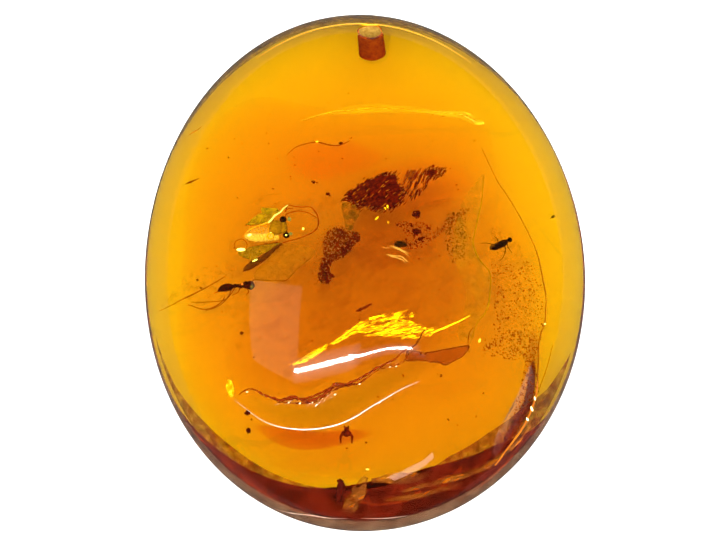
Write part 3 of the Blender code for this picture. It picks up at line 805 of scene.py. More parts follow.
FLOW_SEAM = [
    (8.9, 8.2), (9.99, 5.77), (11.0, 4.22), (12.29, 1.91), (13.08, 0.11), (13.48, -1.69), (13.77, -3.24),
    (13.69, -5.06), (13.22, -6.62), (13.18, -8.17), (13.19, -10.26), (12.77, -11.83), (12.01, -13.39),
    (11.07, -14.66), (9.9, -16.22)
]
SECOND_SEAM = [(14.37, -6.88), (14.06, -8.19), (13.53, -9.75), (12.77, -11.83)]
FINE_SEAMS = [
    [(-5.88, 7.83), (-5.17, 8.44), (-3.75, 8.81), (-2.8, 8.6), (-1.97, 8.55), (-1.13, 8.92)],
    [(-15.91, -4.15), (-13.89, -3.35), (-11.85, -2.44), (-10.43, -1.64)],
    [(-10.42, -3.08), (-10.75, -3.67), (-11.84, -4.12), (-13.35, -3.72)],
    [(-13.84, 9.95), (-13.3, 10.3), (-12.8, 10.57)],
    [(7.75, -7.43), (7.66, -6.82), (7.79, -6.05), (8.04, -5.57)],
]
TOP_ARC = [
    (-4.84, 10.3), (-2.69, 10.93), (-1.15, 11.11), (0.65, 11.25), (2.44, 11.2), (4.5, 11.1), (6.06, 10.96),
    (7.4, 10.9), (8.45, 10.45), (9.26, 10.23)
]


def left_film():
    """A faint pink-brown skin with fine creases, left of the wasp."""
    skin = veil_material("creased_brown_skin", ("#B06428", "#7E3A10"), 0.9, -0.08, 0.13)
    sheet("left_film", "dirt", skin, LEFT_FILM, 4.8, 0.05, relief=0.25, cuts=2)


LEFT_FILM = [
    (-16.0, -3.95), (-14.9, -3.0), (-13.58, -1.42), (-12.4, -0.9), (-11.19, -0.73), (-9.7, -1.14),
    (-9.9, -2.2), (-10.78, -3.43), (-12.33, -3.85), (-14.0, -3.65), (-15.2, -3.75)
]


# ---------------------------------------------------------------- the chip and the cracks

def chip_cutter(mat):
    """A shell-shaped flake struck off the front: a ragged wall, and a floor that rises to the lip."""
    rng = random.Random(5)
    wall = smooth_line(lifted(CHIP_WALL, 0.0), 10)
    lip = smooth_line(lifted(CHIP_LIP, 0.0), 10)
    last = len(wall) - 1
    clear = 1.5
    rings = []
    for i, (a, b) in enumerate(zip(wall, lip)):
        a = a + Vector((rng.uniform(-0.05, 0.05), rng.uniform(-0.09, 0.09), 0))
        depth = CHIP_DEPTH * math.sin(math.pi * (i + 3) / (last + 6))
        top = front_height(a.x, a.y)
        low = front_height(b.x, b.y)
        ring = []
        for k in range(9):
            spot = a.lerp(b, k / 8)
            ring.append(at_surface(spot.x, spot.y, depth * (1 - k / 8) ** 1.3))
        beyond = b + (b - a) * 0.6
        ring.append(Vector((beyond.x, beyond.y, low + depth * 0.6)))
        ring.append(Vector((beyond.x, beyond.y, top + clear)))
        ring.append(Vector((a.x, a.y + 0.05, top + clear)))
        rings.append(ring)
    bm = bmesh.new()
    bridge_rings(bm, rings)
    bmesh.ops.transform(bm, matrix=Matrix.Scale(MM, 4), verts=bm.verts)
    return object_from(bm, "chip_cutter", mat)


def chip_lip():
    """The chip's lower lip, with a painted highlight along its edge."""
    bm = bmesh.new()
    radii = [0.004, 0.008, 0.012, 0.02, 0.03, 0.04, 0.045, 0.045, 0.045, 0.04, 0.035, 0.03, 0.02, 0.006]
    strand(bm, lifted(LIP, -0.03), radii, parts=8, sides=8, flat=0.7, rough=(0.2, 0.012))
    # Painted highlight where the lip's edge catches the light, drawn as amber crushed to a white, matt
    # powder.
    mat, tree, shader, _ = new_material("painted_lip_highlight")
    mottle(tree, shader, ("#FFFFFF", "#F4E6C8"), (0.0, 1.0), 0.08, 0.3, 0.7)
    shader.inputs["Roughness"].default_value = 0.6
    piece(bm, "chip_lip", "amber", mat)


def chip_undercut():
    """The ragged dark wall of the chip, in painted shade."""
    bm = bmesh.new()
    for seed, (line, depth, radii) in enumerate(RAGGED_LINES):
        path = [at_surface(x, y + 0.2, depth) for x, y in line]
        strand(bm, path, radii, parts=6, sides=7, flat=1.4, rough=(0.22, 0.07), seed=seed)
    # Painted shade where the steep wall is seen edge on, drawn rust brown and dull.
    crust = dry_material("painted_chip_wall_shade", 0.15, ("#6A1C02", "#9A3804", "#4C1002"), 0.8,
                         places=(0.0, 0.6, 1.0))
    piece(bm, "chip_undercut", "dirt", crust)


def chip_shade():
    """Painted shade in the chip's hollow floor, as a thin tint from its wall to its lip."""
    wall = smooth_line(lifted(CHIP_WALL, 0.0), 4)
    lip = smooth_line(lifted(CHIP_LIP, 0.0), 4)
    rings = []
    for i, (a, b) in enumerate(zip(wall, lip)):
        spots = [a.lerp(b, 0.05 + 0.9 * k / 8) for k in range(9)]
        thick = 0.42 * math.sin(math.pi * (i + 0.3) / (len(wall) - 0.4))
        upper = [at_surface(spot.x, spot.y, 0.1) for spot in spots]
        lower = [at_surface(spot.x, spot.y, 0.11 + thick * math.sin(math.pi * (k + 0.4) / 8.8))
                 for k, spot in enumerate(spots)]
        rings.append(upper + lower[::-1])
    bm = bmesh.new()
    bridge_rings(bm, rings)
    piece(bm, "chip_shade", "amber", tint_material("painted_chip_floor_shade", 620, 330, 300))


def crack_lines():
    """The thin crack above the wedge, and the wedge's own outline."""
    bm = bmesh.new()
    strand(bm, lifted(CRACK, 8.2), [0.03, 0.06, 0.05, 0.07, 0.05, 0.03], parts=6, flat=2.0, rough=(0.3, 0.05))
    strand(bm, lifted(WEDGE + WEDGE[:1], 8.12), [0.03, 0.045, 0.03, 0.05, 0.03], parts=3, rough=(0.3, 0.03),
           seed=4)
    piece(bm, "crack_lines", "dirt", dry_material("dark_crack_line", 0.2, ("#5E2402", "#8A4206"), 0.5))


def chip_sparks():
    """Painted highlights that glow: small bright faces along the chip's wall."""
    rng = random.Random(17)
    sparks = [placed(rng, *at_surface(x, y + 0.1, 0.16), 0.04, long=2.2, flat=0.5, turn=20)
              for x, y in CHIP_SPARKS]
    scattered("chip_sparks", pebble(), sparks, "amber", painted_glint_material("chip_spark", "#FFF4D0", 1.2))


LIP = [
    (-9.85, -11.42), (-9.27, -11.91), (-8.5, -12.5), (-7.64, -13.08), (-6.59, -13.48), (-5.46, -13.69),
    (-4.32, -13.76), (-3.0, -13.63), (-1.87, -13.36), (-0.74, -12.86), (0.38, -12.16), (1.51, -11.51),
    (2.64, -10.85), (4.1, -10.19)
]
RAGGED = [
    (-9.56, -11.22), (-8.98, -10.88), (-8.5, -10.84), (-8.02, -11.04), (-7.54, -11.34), (-6.88, -11.54),
    (-6.4, -11.73), (-5.46, -11.47), (-4.7, -11.76), (-3.95, -11.73), (-3.19, -11.41), (-2.63, -10.95),
    (-2.25, -10.58), (-1.5, -10.59), (-0.75, -10.35), (0.01, -9.94), (0.76, -9.47), (1.51, -9.09),
    (2.27, -8.72), (2.65, -8.34), (3.12, -7.97)
]
RAGGED_LOW = [
    (-6.5, -11.82), (-5.65, -11.9), (-4.7, -11.95), (-3.76, -11.87), (-2.82, -11.32), (-2.06, -10.86),
    (-1.12, -10.64), (-0.37, -10.46), (0.57, -9.75), (1.33, -9.37), (2.08, -9.22), (2.64, -9.09)
]
RAGGED_THIRD = [(-6.6, -11.62), (-5.4, -11.62), (-4.3, -11.6), (-3.3, -11.2), (-2.4, -10.8), (-1.3, -10.5)]
# Each line of the ragged wall: its points, its depth and its radii.
RAGGED_LINES = [
    (RAGGED, 0.22, [0.03, 0.05, 0.06, 0.09, 0.1, 0.1, 0.08, 0.07, 0.06, 0.05]),
    (RAGGED_LOW, 0.42, [0.03, 0.08, 0.06, 0.07, 0.05, 0.03]),
    (RAGGED_THIRD, 0.3, [0.02, 0.09, 0.07, 0.02]),
]
CHIP_SPARKS = [
    (-2.25, -11.27), (2.36, -9.18), (1.89, -9.22), (-5.74, -11.84), (-3.95, -11.86), (-0.4, -10.5),
    (-8.9, -10.95), (-4.9, -11.9)
]
CRACK = [(4.49, -6.18), (4.15, -6.84), (3.78, -7.41), (3.3, -7.79), (3.02, -8.37), (2.93, -8.75)]


def golden_films():
    """Thin air gaps in a crack: they throw the light back yellow, in creased streaks."""
    for seed, (band, lean) in enumerate(zip(GOLD_BANDS, GOLD_LEANS)):
        # Air in a crack mirrors like metal. The creases are drawn coarser than real ones, to show.
        gold = veil_material("gold_air_crack_%d" % seed, ("#FFF020", "#FFC800", "#E07C00"), 0.16, -1.3, 1.6,
                             0.25, 1.0, lean=lean, long=8.0, places=(0.2, 0.5, 0.8))
        sheet("golden_film_%d" % seed, "amber", gold, band, 7.9, 0.03, sharp=20.0, tilt=(0.02, 0.06), cuts=4,
              relief=0.2, seed=seed)


def gold_sparks():
    """Painted highlights that glow: two long lines and many short splinters of light on the brightest
    creases.
    """
    bright = painted_glint_material("gold_crack_spark", "#FFD000", 1.3)
    dull = painted_glint_material("amber_crack_spark", "#F09000", 0.7)
    bm = bmesh.new()
    for line, radii in GOLD_LINES:
        strand(bm, lifted(line, 7.97), radii, flat=0.4, rough=(0.3, 0.03))
    piece(bm, "golden_lines", "amber", bright)
    rng = random.Random(23)
    places, kinds = [], []
    for band, count, lean in zip(GOLD_BANDS, GOLD_COUNTS, GOLD_LEANS):
        for x, y in chance_points(rng, band, count):
            places.append(placed(rng, x, y, 7.96 + rng.uniform(-0.05, 0.1), rng.uniform(0.012, 0.032),
                                 long=rng.uniform(5, 16), turn=lean, flat=0.3, wobble=0.15))
            kinds.append(either(rng, 0.6))
    scattered("gold_sparks", splinter(), places, "amber", bright, dull, kinds=kinds)


# The streaks of gold: how many splinters each holds, its turn in degrees and its outline.
GOLD_COUNTS = (40, 70, 50, 16, 45, 45, 14)
GOLD_LEANS = (28, 22, 8, 20, 10, 14, 30)
GOLD_BANDS = [
    [(-5.98, -8.85), (-5.27, -8.7), (-4.7, -8.36), (-4.13, -7.98), (-3.38, -7.52), (-2.78, -7.33),
     (-2.91, -7.75), (-3.57, -8.17), (-4.32, -8.61), (-5.08, -8.83)],
    [(-1.87, -6.8), (-1.12, -6.23), (-0.37, -5.62), (0.39, -5.28), (1.33, -5.08), (2.27, -4.93),
     (3.03, -4.74), (3.59, -4.89), (3.68, -5.27), (3.02, -5.31), (2.08, -5.43), (1.14, -5.66),
     (0.39, -5.89), (-0.37, -6.23), (-1.5, -6.9)],
    [(2.08, -5.31), (3.4, -5.5), (4.15, -5.88), (4.49, -6.13), (4.15, -6.51), (3.02, -6.32),
     (2.27, -6.04), (1.89, -5.66)],
    [(4.44, -6.04), (5.1, -6.0), (5.25, -6.42), (4.91, -6.7), (4.44, -6.57)],
    [(-0.37, -6.71), (1.33, -6.65), (3.02, -6.76), (4.15, -6.89), (3.4, -6.42), (1.52, -6.32)],
    [(-0.9, -6.4), (0.6, -5.9), (2.2, -5.6), (3.6, -5.8), (3.2, -6.4), (1.2, -6.5)],
    [(-2.6, -7.3), (-1.87, -6.8), (-1.2, -6.2), (-1.3, -6.7), (-2.0, -7.2)],
]
GOLD_LINES = [
    ([(5.0, -6.45), (6.04, -6.03), (6.99, -5.6), (7.94, -5.1)], [0.05, 0.07, 0.05, 0.02]),
    ([(-2.6, -7.3), (-1.87, -6.8), (-1.3, -6.4), (-0.7, -5.9)], [0.02, 0.04, 0.04, 0.02]),
]


def yellow_nick():
    """A small bright nick at the chip's left end, with air under its flake."""
    gold = veil_material("bright_nick", ("#FFD820", "#D89000"), 0.3, 0.25, 0.9, 0.3, 1.0)
    sheet("yellow_nick", "amber", gold, YELLOW_CHIP, 7.9, 0.05, tilt=(0.1, 0.1), cuts=2, relief=0.1)


YELLOW_CHIP = [
    (-10.4, -9.96), (-10.1, -10.05), (-9.87, -10.63), (-9.93, -11.31), (-10.24, -11.31), (-10.52, -10.54)
]


# ---------------------------------------------------------------- the animals

def insect_skin(name, dark, light, roughness=0.35):
    """Insect cuticle: hard, thin and faintly glossy, darker in its folds."""
    return dry_material(name, 0.12, (dark, light), roughness, relief=0.01, gleam=0.05)


def painted_glow_skin(name, dark, light, strength):
    """Pale clear cuticle with air under it, lit from within by a painted glow: its colour is also its
    emission.
    """
    mat = insect_skin(name, dark, light, 0.3)
    shader = mat.node_tree.nodes["Principled BSDF"]
    source = shader.inputs["Base Color"].links[0].from_socket
    mat.node_tree.links.new(source, shader.inputs["Emission Color"])
    shader.inputs["Emission Strength"].default_value = strength
    return mat


def wing_material(name, thin_colour, thick_colour, cover):
    """Wing membrane, clear but for a faint tint that is stronger in patches."""
    return veil_material(name, (thin_colour, thick_colour), 0.35, cover * 0.55, cover, 0.25)


def limbs(bm, lines, z, share=1.0, **form):
    """Legs and feelers from (x, y, height above z) and radii; share thins them all."""
    for line, radii in lines:
        strand(bm, [(x, y, z + dz) for x, y, dz in line], [share * r for r in radii], **form)


def winged_insect_body():
    """Body, legs and eyes of a small four-winged insect, seen from above."""
    z = INSECT_Z
    bm = bmesh.new()
    ball(bm, (-6.75, 1.95, z), (0.62, 0.62, 0.45), turn=8, rough=(0.25, 0.06))
    ball(bm, (-6.12, 1.98, z), (0.3, 0.5, 0.3), rough=(0.25, 0.06))
    for start, end, reach in ((-7.06, -8.2, 0.5), (-6.9, -8.0, -0.5), (-6.6, -7.2, 0.9)):
        leg = [(start, 1.9, z - 0.35), (start - 0.35, 1.9 + reach * 0.9, z - 0.6),
               (end, 1.9 + reach * 1.6, z - 0.7)]
        strand(bm, leg, [0.06, 0.04, 0.02], parts=4)
    count = mark(bm, 0, 0)
    rings = [0.2 + 0.12 * math.sin(math.pi * i / 19) + 0.035 * (i % 3 - 1) for i in range(20)]
    belly = [(-6.5, 1.2, z), (-7.1, 1.25, z + 0.02), (-7.72, 1.22, z), (-8.38, 1.2, z - 0.02),
             (-9.05, 1.36, z - 0.04)]
    strand(bm, belly, rings + [0.06], sides=14, flat=0.8)
    flank = [(-6.6, 1.62, z), (-7.4, 1.75, z + 0.02), (-8.2, 1.7, z), (-8.9, 1.55, z - 0.05)]
    strand(bm, flank, [0.22, 0.3, 0.3, 0.26, 0.1], sides=12, flat=0.7)
    count = mark(bm, count, 1)
    for x, y, size in ((-6.18, 2.58, 0.27), (-5.94, 1.36, 0.25)):
        ball(bm, (x, y, z + 0.08), (size, size * 0.95, size * 0.85))
        for i in range(4):
            a = 0.7 + i * 1.25
            ball(bm, (x + 0.17 * math.cos(a), y + 0.17 * math.sin(a), z + 0.24), (0.07, 0.06, 0.05), detail=2)
    mark(bm, count, 2)
    piece(bm, "winged_insect_body", "insect_gold", insect_skin("gold_cuticle", "#7A5A14", "#C79A3C"),
          painted_glow_skin("pale_belly_cuticle_painted_glow", "#A08098", "#E8D0F0", 0.9),
          insect_skin("dark_eye_cuticle", "#160604", "#3A1408", 0.2), nodes=("winged_insect",))


def winged_insect_feelers():
    """Two long looped feelers, and two threads at the belly."""
    bm = bmesh.new()
    strand(bm, lifted(FEELER_OUTER, 5.9), [0.03, 0.045, 0.04, 0.045, 0.05, 0.04, 0.03], sides=8)
    strand(bm, lifted(FEELER_INNER, 6.05), [0.035, 0.045, 0.035, 0.02], sides=8)
    strand(bm, lifted(FEELER_BASE, 6.1), [0.04, 0.035, 0.02], parts=4, sides=8)
    strand(bm, lifted([(-6.41, 0.85), (-7.44, 0.71), (-8.56, 0.53)], 6.1), [0.03, 0.02], parts=4)
    strand(bm, lifted([(-7.45, 2.3), (-8.21, 2.16), (-9.05, 2.15)], 6.25), [0.03, 0.015], parts=4)
    thread = insect_skin("feeler_cuticle", "#8A3C08", "#B05A10", 0.4)
    piece(bm, "winged_insect_feelers", "insect_gold", thread)


def wings():
    """Four wings, from the clear green-gold ones to the faint tan one that lies below."""
    for name, boundary, sizes, form, membrane in WINGS:
        sheet(name, "insect_gold", wing_material(*membrane), boundary, *sizes, **form)


def wing_edge():
    """The folded edge of the upper wing, with a painted highlight that glows: silver near the head, gold
    beyond.
    """
    bm = bmesh.new()
    strand(bm, lifted(WING_EDGE, 6.36), [0.02, 0.04, 0.06, 0.05, 0.06, 0.05, 0.03, 0.03, 0.03, 0.02], parts=4,
           sides=8, rough=(0.2, 0.03))
    for face in bm.faces:
        face.material_index = 0 if face.calc_center_median().x > -7.3 else 1
    piece(bm, "wing_edge", "insect_gold", painted_glint_material("painted_silver_wing_glint", "#A8B4FF", 3.2),
          painted_glint_material("painted_gold_wing_glint", "#E8B070", 0.9))


def wing_blade():
    """A dark wing folded lengthwise to a blade."""
    bm = bmesh.new()
    strand(bm, lifted(BLADE, INSECT_Z), [0.07, 0.13, 0.19, 0.25, 0.3, 0.22, 0.03], sides=14, flat=0.45,
           rough=(0.35, 0.03))
    brown = insect_skin("brown_blade_cuticle", "#3A1808", "#7A4210", 0.3)
    piece(bm, "folded_wing_blade", "insect_gold", brown)


INSECT_Z = 6.0
UPPER_WING = [
    (-7.89, 3.53), (-7.3, 3.5), (-6.61, 3.44), (-6.38, 3.12), (-6.8, 2.88), (-7.17, 2.4), (-7.45, 2.3),
    (-8.21, 2.16), (-9.05, 2.15), (-8.54, 2.66), (-8.16, 2.94), (-7.79, 3.14)
]
MIDDLE_WING = [
    (-7.22, 2.4), (-6.6, 1.86), (-6.51, 1.57), (-7.73, 1.48), (-8.67, 1.5), (-9.0, 1.5), (-8.67, 1.84),
    (-8.3, 2.0), (-7.83, 2.19)
]
FOLDED_WING = [
    (-9.49, 0.15), (-8.51, 0.52), (-7.44, 0.7), (-6.36, 0.88), (-6.78, 0.32), (-7.81, -0.06),
    (-8.37, -0.54), (-8.74, -0.44), (-9.4, -0.19)
]
HAZE_WING = [
    (-6.21, 0.74), (-4.89, 0.65), (-3.76, 0.26), (-3.95, -0.32), (-4.51, -0.75), (-5.17, -1.33),
    (-5.92, -2.05), (-8.2, -2.05), (-8.17, -1.26), (-7.42, -0.59), (-6.77, 0.18)
]
# Each wing: its piece, outline, height and thickness, form, and membrane.
WINGS = [
    ("upper_wing", UPPER_WING, (INSECT_Z + 0.15, 0.04), {"tilt": (0.02, 0.05), "relief": 0.05},
     ("green_gold_wing", "#C8B468", "#8E8648", 0.75)),
    ("middle_wing", MIDDLE_WING, (INSECT_Z + 0.3, 0.03), {"tilt": (0.02, 0.03), "relief": 0.05},
     ("gold_wing", "#F0B050", "#D89020", 0.6)),
    ("folded_wing", FOLDED_WING, (INSECT_Z - 0.1, 0.05), {"parts": 2, "tilt": (0.02, 0.02), "relief": 0.05},
     ("olive_wing", "#B0903A", "#7E7430", 0.7)),
    ("lower_wing", HAZE_WING, (5.68, 0.04), {"parts": 2, "tilt": (0.0, 0.03), "relief": 0.12, "cuts": 2},
     ("tan_haze_wing", "#C88E40", "#A87836", 0.36)),
]
WING_EDGE = [
    (-5.81, 3.67), (-6.14, 3.45), (-6.43, 3.11), (-6.8, 2.87), (-7.04, 2.58), (-7.22, 2.38), (-7.46, 2.29),
    (-7.83, 2.16), (-8.3, 1.98), (-8.68, 1.82), (-9.0, 1.48), (-9.14, 1.29)
]
BLADE = [
    (-6.26, 0.77), (-6.73, 0.4), (-7.25, -0.06), (-7.76, -0.45), (-8.36, -0.8), (-8.88, -1.16),
    (-9.2, -1.42)
]
FEELER_OUTER = [
    (-6.0, 3.2), (-5.81, 3.72), (-5.29, 3.62), (-4.72, 3.59), (-4.15, 3.59), (-3.82, 3.29), (-3.59, 2.9),
    (-3.51, 2.41), (-3.6, 1.98), (-3.85, 1.68), (-4.29, 1.44), (-4.71, 1.25), (-5.18, 1.09), (-5.65, 0.97),
    (-6.21, 0.8)
]
FEELER_INNER = [
    (-6.0, 2.75), (-5.95, 3.0), (-5.57, 3.16), (-5.19, 3.24), (-4.72, 3.21), (-4.25, 3.09), (-3.92, 2.89),
    (-3.63, 2.69)
]
FEELER_BASE = [(-6.09, 3.23), (-5.76, 3.42), (-5.43, 3.44)]


def ring_loop(bm, centre, radii, steps, thick, gap, sides):
    """A thin ring; gap is how far its last point stands off its first, so that the ends don't cross."""
    ring = [Vector(centre) + Vector((radii[0] * math.cos(a), radii[1] * math.sin(a), 0))
            for a in circle(steps, steps - 1)]
    tube(bm, ring + [ring[0] + Vector((0, gap, 0))], thick, sides=sides)


def bubble_and_ring():
    """A painted dark ring where the edge of a flat air bubble beside the belly shows, and a gold ring on the
    belly.
    """
    bm = bmesh.new()
    ring_loop(bm, (-9.36, 0.6, 6.15), (0.48, 0.48), 40, [0.025, 0.03, 0.025], 0.04, 6)
    count = mark(bm, 0, 0)
    ring_loop(bm, (-7.12, 1.27, 6.33), (0.24, 0.22), 28, [0.05, 0.07, 0.05], 0.03, 7)
    mark(bm, count, 1)
    piece(bm, "bubble_and_ring", "insect_gold", dry_material("painted_bubble_edge_shade", 0.2, ("#8A4A04", "#B46A08"), 0.3),
          insect_skin("gold_ring_cuticle", "#E8B040", "#FFE08A", 0.25))


def insect_glints():
    """Painted highlights that glow on the insect: white ones, and two blue ones by its eyes."""
    bm = bmesh.new()
    for x, y, z, wide, deep, turn in WHITE_GLEAMS:
        ball(bm, (x, y, z), (wide, deep, 0.035), turn=turn, detail=2)
    count = mark(bm, 0, 0)
    for x, y, z, wide, deep in BLUE_GLEAMS:
        ball(bm, (x, y, z), (wide, deep, 0.05), detail=2)
    mark(bm, count, 1)
    # Painted highlights where wet cuticle mirrors a lamp. Drawn bluer and brighter than it is seen, as the
    # amber takes blue away.
    piece(bm, "insect_glints", "insect_gold", painted_glint_material("wet_gleam", "#C8D0FF", 6.0),
          painted_glint_material("blue_silver_gleam", "#6068D0", 1.3))


# Each gleam: its middle, its half sizes and its turn in degrees.
WHITE_GLEAMS = [(-9.34, 0.26, 6.2, 0.33, 0.13, 0), (-8.28, -0.58, 6.17, 0.22, 0.055, 25),
                (-5.95, 1.33, 6.36, 0.07, 0.06, 0), (-4.67, 1.85, 6.1, 0.08, 0.1, 0),
                (-8.7, 1.4, 6.2, 0.16, 0.08, 20), (-7.12, 1.5, 6.35, 0.1, 0.05, 0)]
BLUE_GLEAMS = [(-5.62, 1.45, 6.2, 0.16, 0.13), (-5.72, 2.6, 6.15, 0.14, 0.18)]


def wasp_body():
    """A narrow-waisted wasp: pointed belly with its sting, knobbly waist, and head with a grey eye."""
    z = WASP_Z
    bm = bmesh.new()
    belly = [(-11.0, -2.86), (-10.85, -2.72), (-10.55, -2.58), (-10.2, -2.52), (-9.9, -2.48), (-9.72, -2.46)]
    strand(bm, lifted(belly, z), [0.03, 0.13, 0.25, 0.31, 0.27, 0.13, 0.06], sides=16, flat=0.9)
    for x, r in ((-9.72, 0.14), (-9.52, 0.13), (-9.28, 0.17), (-9.08, 0.13)):
        ball(bm, (x, -2.43, z), (r, r * 1.15, r), rough=(0.1, 0.02))
    ball(bm, (-8.92, -2.35, z), (0.22, 0.3, 0.24), rough=(0.15, 0.03))
    ball(bm, (-8.6, -2.4, z + 0.02), (0.34, 0.34, 0.28), turn=8, rough=(0.2, 0.04))
    count = mark(bm, 0, 0)
    strand(bm, lifted([(-11.0, -2.86), (-11.15, -2.9), (-11.32, -2.97)], z), [0.04, 0.02], parts=4, sides=7)
    count = mark(bm, count, 1)
    ball(bm, (-8.5, -2.48, z + 0.2), (0.17, 0.2, 0.12))
    mark(bm, count, 2)
    piece(bm, "ant_like_wasp_body", "insect_dark",
          insect_skin("black_brown_cuticle", "#1C0602", "#4A1404", 0.5),
          insect_skin("orange_sting", "#B05008", "#D87810"),
          insect_skin("grey_eye", "#4A4A44", "#6E6A5A", 0.25), nodes=("ant_like_wasp",))


def wasp_limbs():
    """The wasp's waist with a painted gleam that glows, its elbowed feeler and its long legs."""
    bm = bmesh.new()
    ball(bm, (-9.2, -2.33, WASP_Z + 0.17), (0.1, 0.07, 0.05), detail=2)
    piece(bm, "wasp_waist_gleam", "insect_dark", painted_glint_material("pink_gleam", "#E088A0", 0.8))
    bm = bmesh.new()
    strand(bm, lifted(WASP_FEELER, 5.45), [0.035, 0.035, 0.03, 0.03, 0.02], sides=7)
    limbs(bm, WASP_LIMBS, WASP_Z, share=0.75, sides=7)
    piece(bm, "wasp_feeler", "insect_dark", insect_skin("feeler_brown", "#6A2E06", "#94500E", 0.4))


WASP_Z = 5.4
WASP_FEELER = [
    (-8.45, -2.2), (-8.32, -1.99), (-7.69, -2.01), (-6.75, -2.04), (-5.91, -2.03), (-5.26, -1.33),
    (-4.51, -0.66), (-4.1, -0.3)
]
WASP_LIMBS = [
    ([(-9.7, -2.5, -0.1), (-9.98, -2.99, -0.1), (-10.5, -3.48, -0.15), (-11.85, -3.59, -0.2),
      (-13.05, -3.57, -0.2)], [0.06, 0.045, 0.035, 0.025]),
    ([(-9.95, -2.6, -0.15), (-10.2, -3.22, -0.25), (-10.87, -3.9, -0.3), (-11.96, -4.27, -0.3)],
     [0.06, 0.045, 0.035, 0.025]),
    ([(-9.3, -2.5, -0.1), (-9.5, -2.9, -0.2), (-9.9, -3.1, -0.25)], [0.05, 0.03]),
    ([(-8.9, -2.5, -0.1), (-8.7, -2.85, -0.2), (-8.9, -3.1, -0.25)], [0.05, 0.03]),
]


def midge():
    """A tiny fly with its wings folded back and its legs splayed."""
    z = MIDGE_Z
    bm = bmesh.new()
    spine = [(9.5, 0.34), (9.8, 0.52), (10.15, 0.72), (10.5, 0.92), (10.8, 1.1)]
    strand(bm, lifted(spine, z), [0.06, 0.2, 0.24, 0.26, 0.27, 0.2, 0.08], parts=4, sides=12,
           rough=(0.2, 0.04))
    ball(bm, (10.9, 1.15, z), (0.17, 0.19, 0.16), turn=25, rough=(0.15, 0.03))
    limbs(bm, MIDGE_LIMBS, z, parts=4)
    count = mark(bm, 0, 0)
    for shift in (0.0, 0.12):
        film(bm, [(x, y - shift) for x, y in MIDGE_WING], z + 0.2 - shift, 0.03)
    mark(bm, count, 1)
    piece(bm, "midge_body", "insect_dark", insect_skin("black_midge_cuticle", "#0C0201", "#260A04", 0.5),
          wing_material("smoky_midge_wing", "#4A1C08", "#260C04", 0.8), nodes=("midge",))


MIDGE_Z = 5.7
MIDGE_WING = [(10.55, 0.95), (10.0, 0.92), (9.4, 0.6), (9.35, 0.42), (9.9, 0.45)]
MIDGE_LIMBS = [
    ([(10.45, 0.8, 0), (10.54, 0.33, -0.05), (10.38, -0.18, -0.08), (10.1, -0.5, -0.1)],
     [0.045, 0.03, 0.018]),
    ([(10.65, 0.9, 0), (10.76, 0.53, 0), (11.05, 0.12, -0.05)], [0.045, 0.03, 0.018]),
    ([(9.8, 0.66, 0), (9.23, 0.82, 0), (8.64, 0.82, 0)], [0.04, 0.028, 0.015]),
    ([(10.0, 0.8, 0), (9.93, 1.17, 0), (9.7, 1.36, 0)], [0.04, 0.018]),
]


def spider():
    """A speck-sized spider: two body lobes, bent front legs and two legs behind."""
    x, z = -1.38, SPIDER_Z
    bm = bmesh.new()
    ball(bm, (x, -13.72, z), (0.27, 0.3, 0.19), rough=(0.15, 0.05))
    ball(bm, (x + 0.02, -13.43, z), (0.2, 0.19, 0.13), rough=(0.12, 0.03))
    for side in (-1, 1):
        for parts, leg, radii in SPIDER_LEGS:
            strand(bm, [(x + side * dx, y, z + dz) for dx, y, dz in leg], radii, parts=parts)
    ball(bm, (-1.35, -14.86, z), (0.08, 0.06, 0.06), detail=2, rough=(0.1, 0.02))
    ball(bm, (0.09, -14.44, z), (0.08, 0.07, 0.06), detail=2, rough=(0.1, 0.02))
    piece(bm, "spider_body", "insect_dark", insect_skin("brown_spider_cuticle", "#4A0E02", "#7A2004", 0.6),
          nodes=("spider",))


SPIDER_Z = 5.8
# Each leg: how finely it is drawn, its (x from the middle, y, height above the spider) and its radii.
SPIDER_LEGS = [
    (3, [(0.0, -13.4, 0.0), (0.12, -13.3, 0.0), (0.16, -13.17, 0.0)], [0.07, 0.05]),
    (4, [(0.0, -13.72, 0.0), (0.38, -13.88, 0.04), (0.43, -14.15, 0.0), (0.41, -14.5, 0.0)],
     [0.1, 0.09, 0.04]),
    (3, [(0.0, -13.6, 0.0), (0.3, -13.66, 0.0), (0.36, -13.9, -0.1)], [0.08, 0.05]),
]


def tiny_fly():
    """A fly too small to show more than a body and one leg, by the right rim."""
    bm = bmesh.new()
    ball(bm, (14.42, 3.27, 4.8), (0.2, 0.1, 0.1), turn=35, rough=(0.12, 0.03))
    strand(bm, [(14.3, 3.2, 4.8), (14.15, 3.05, 4.8)], [0.035, 0.02], parts=3)
    piece(bm, "tiny_fly", "insect_dark", insect_skin("olive_fly_cuticle", "#3A2A04", "#6A5008"))


# ---------------------------------------------------------------- the plant scraps

def bark_core():
    """The solid middle of the flake, and of its toothed tip."""
    bm = bmesh.new()
    core = [((x - 0.9) * 0.93 + 0.9, (y - 4.75) * 0.9 + 4.75) for x, y in BARK_MAIN]
    roughen(film(bm, core, 4.95, 0.25, relief=0.15, cuts=3), 0.35, 0.08)
    roughen(film(bm, BARK_TIP_CORE, 5.0, 0.06, cuts=2), 0.15, 0.09)
    # Bark that charred before the resin took it: crumbly, matt and red-brown where it is thin.
    char = dry_material("charred_bark", 0.25, ("#3A0A02", "#5E1604", "#7E2606"), 0.7, 0.05,
                        places=(0.0, 0.5, 1.0))
    piece(bm, "bark_flake_core", "bark", char)
    return char


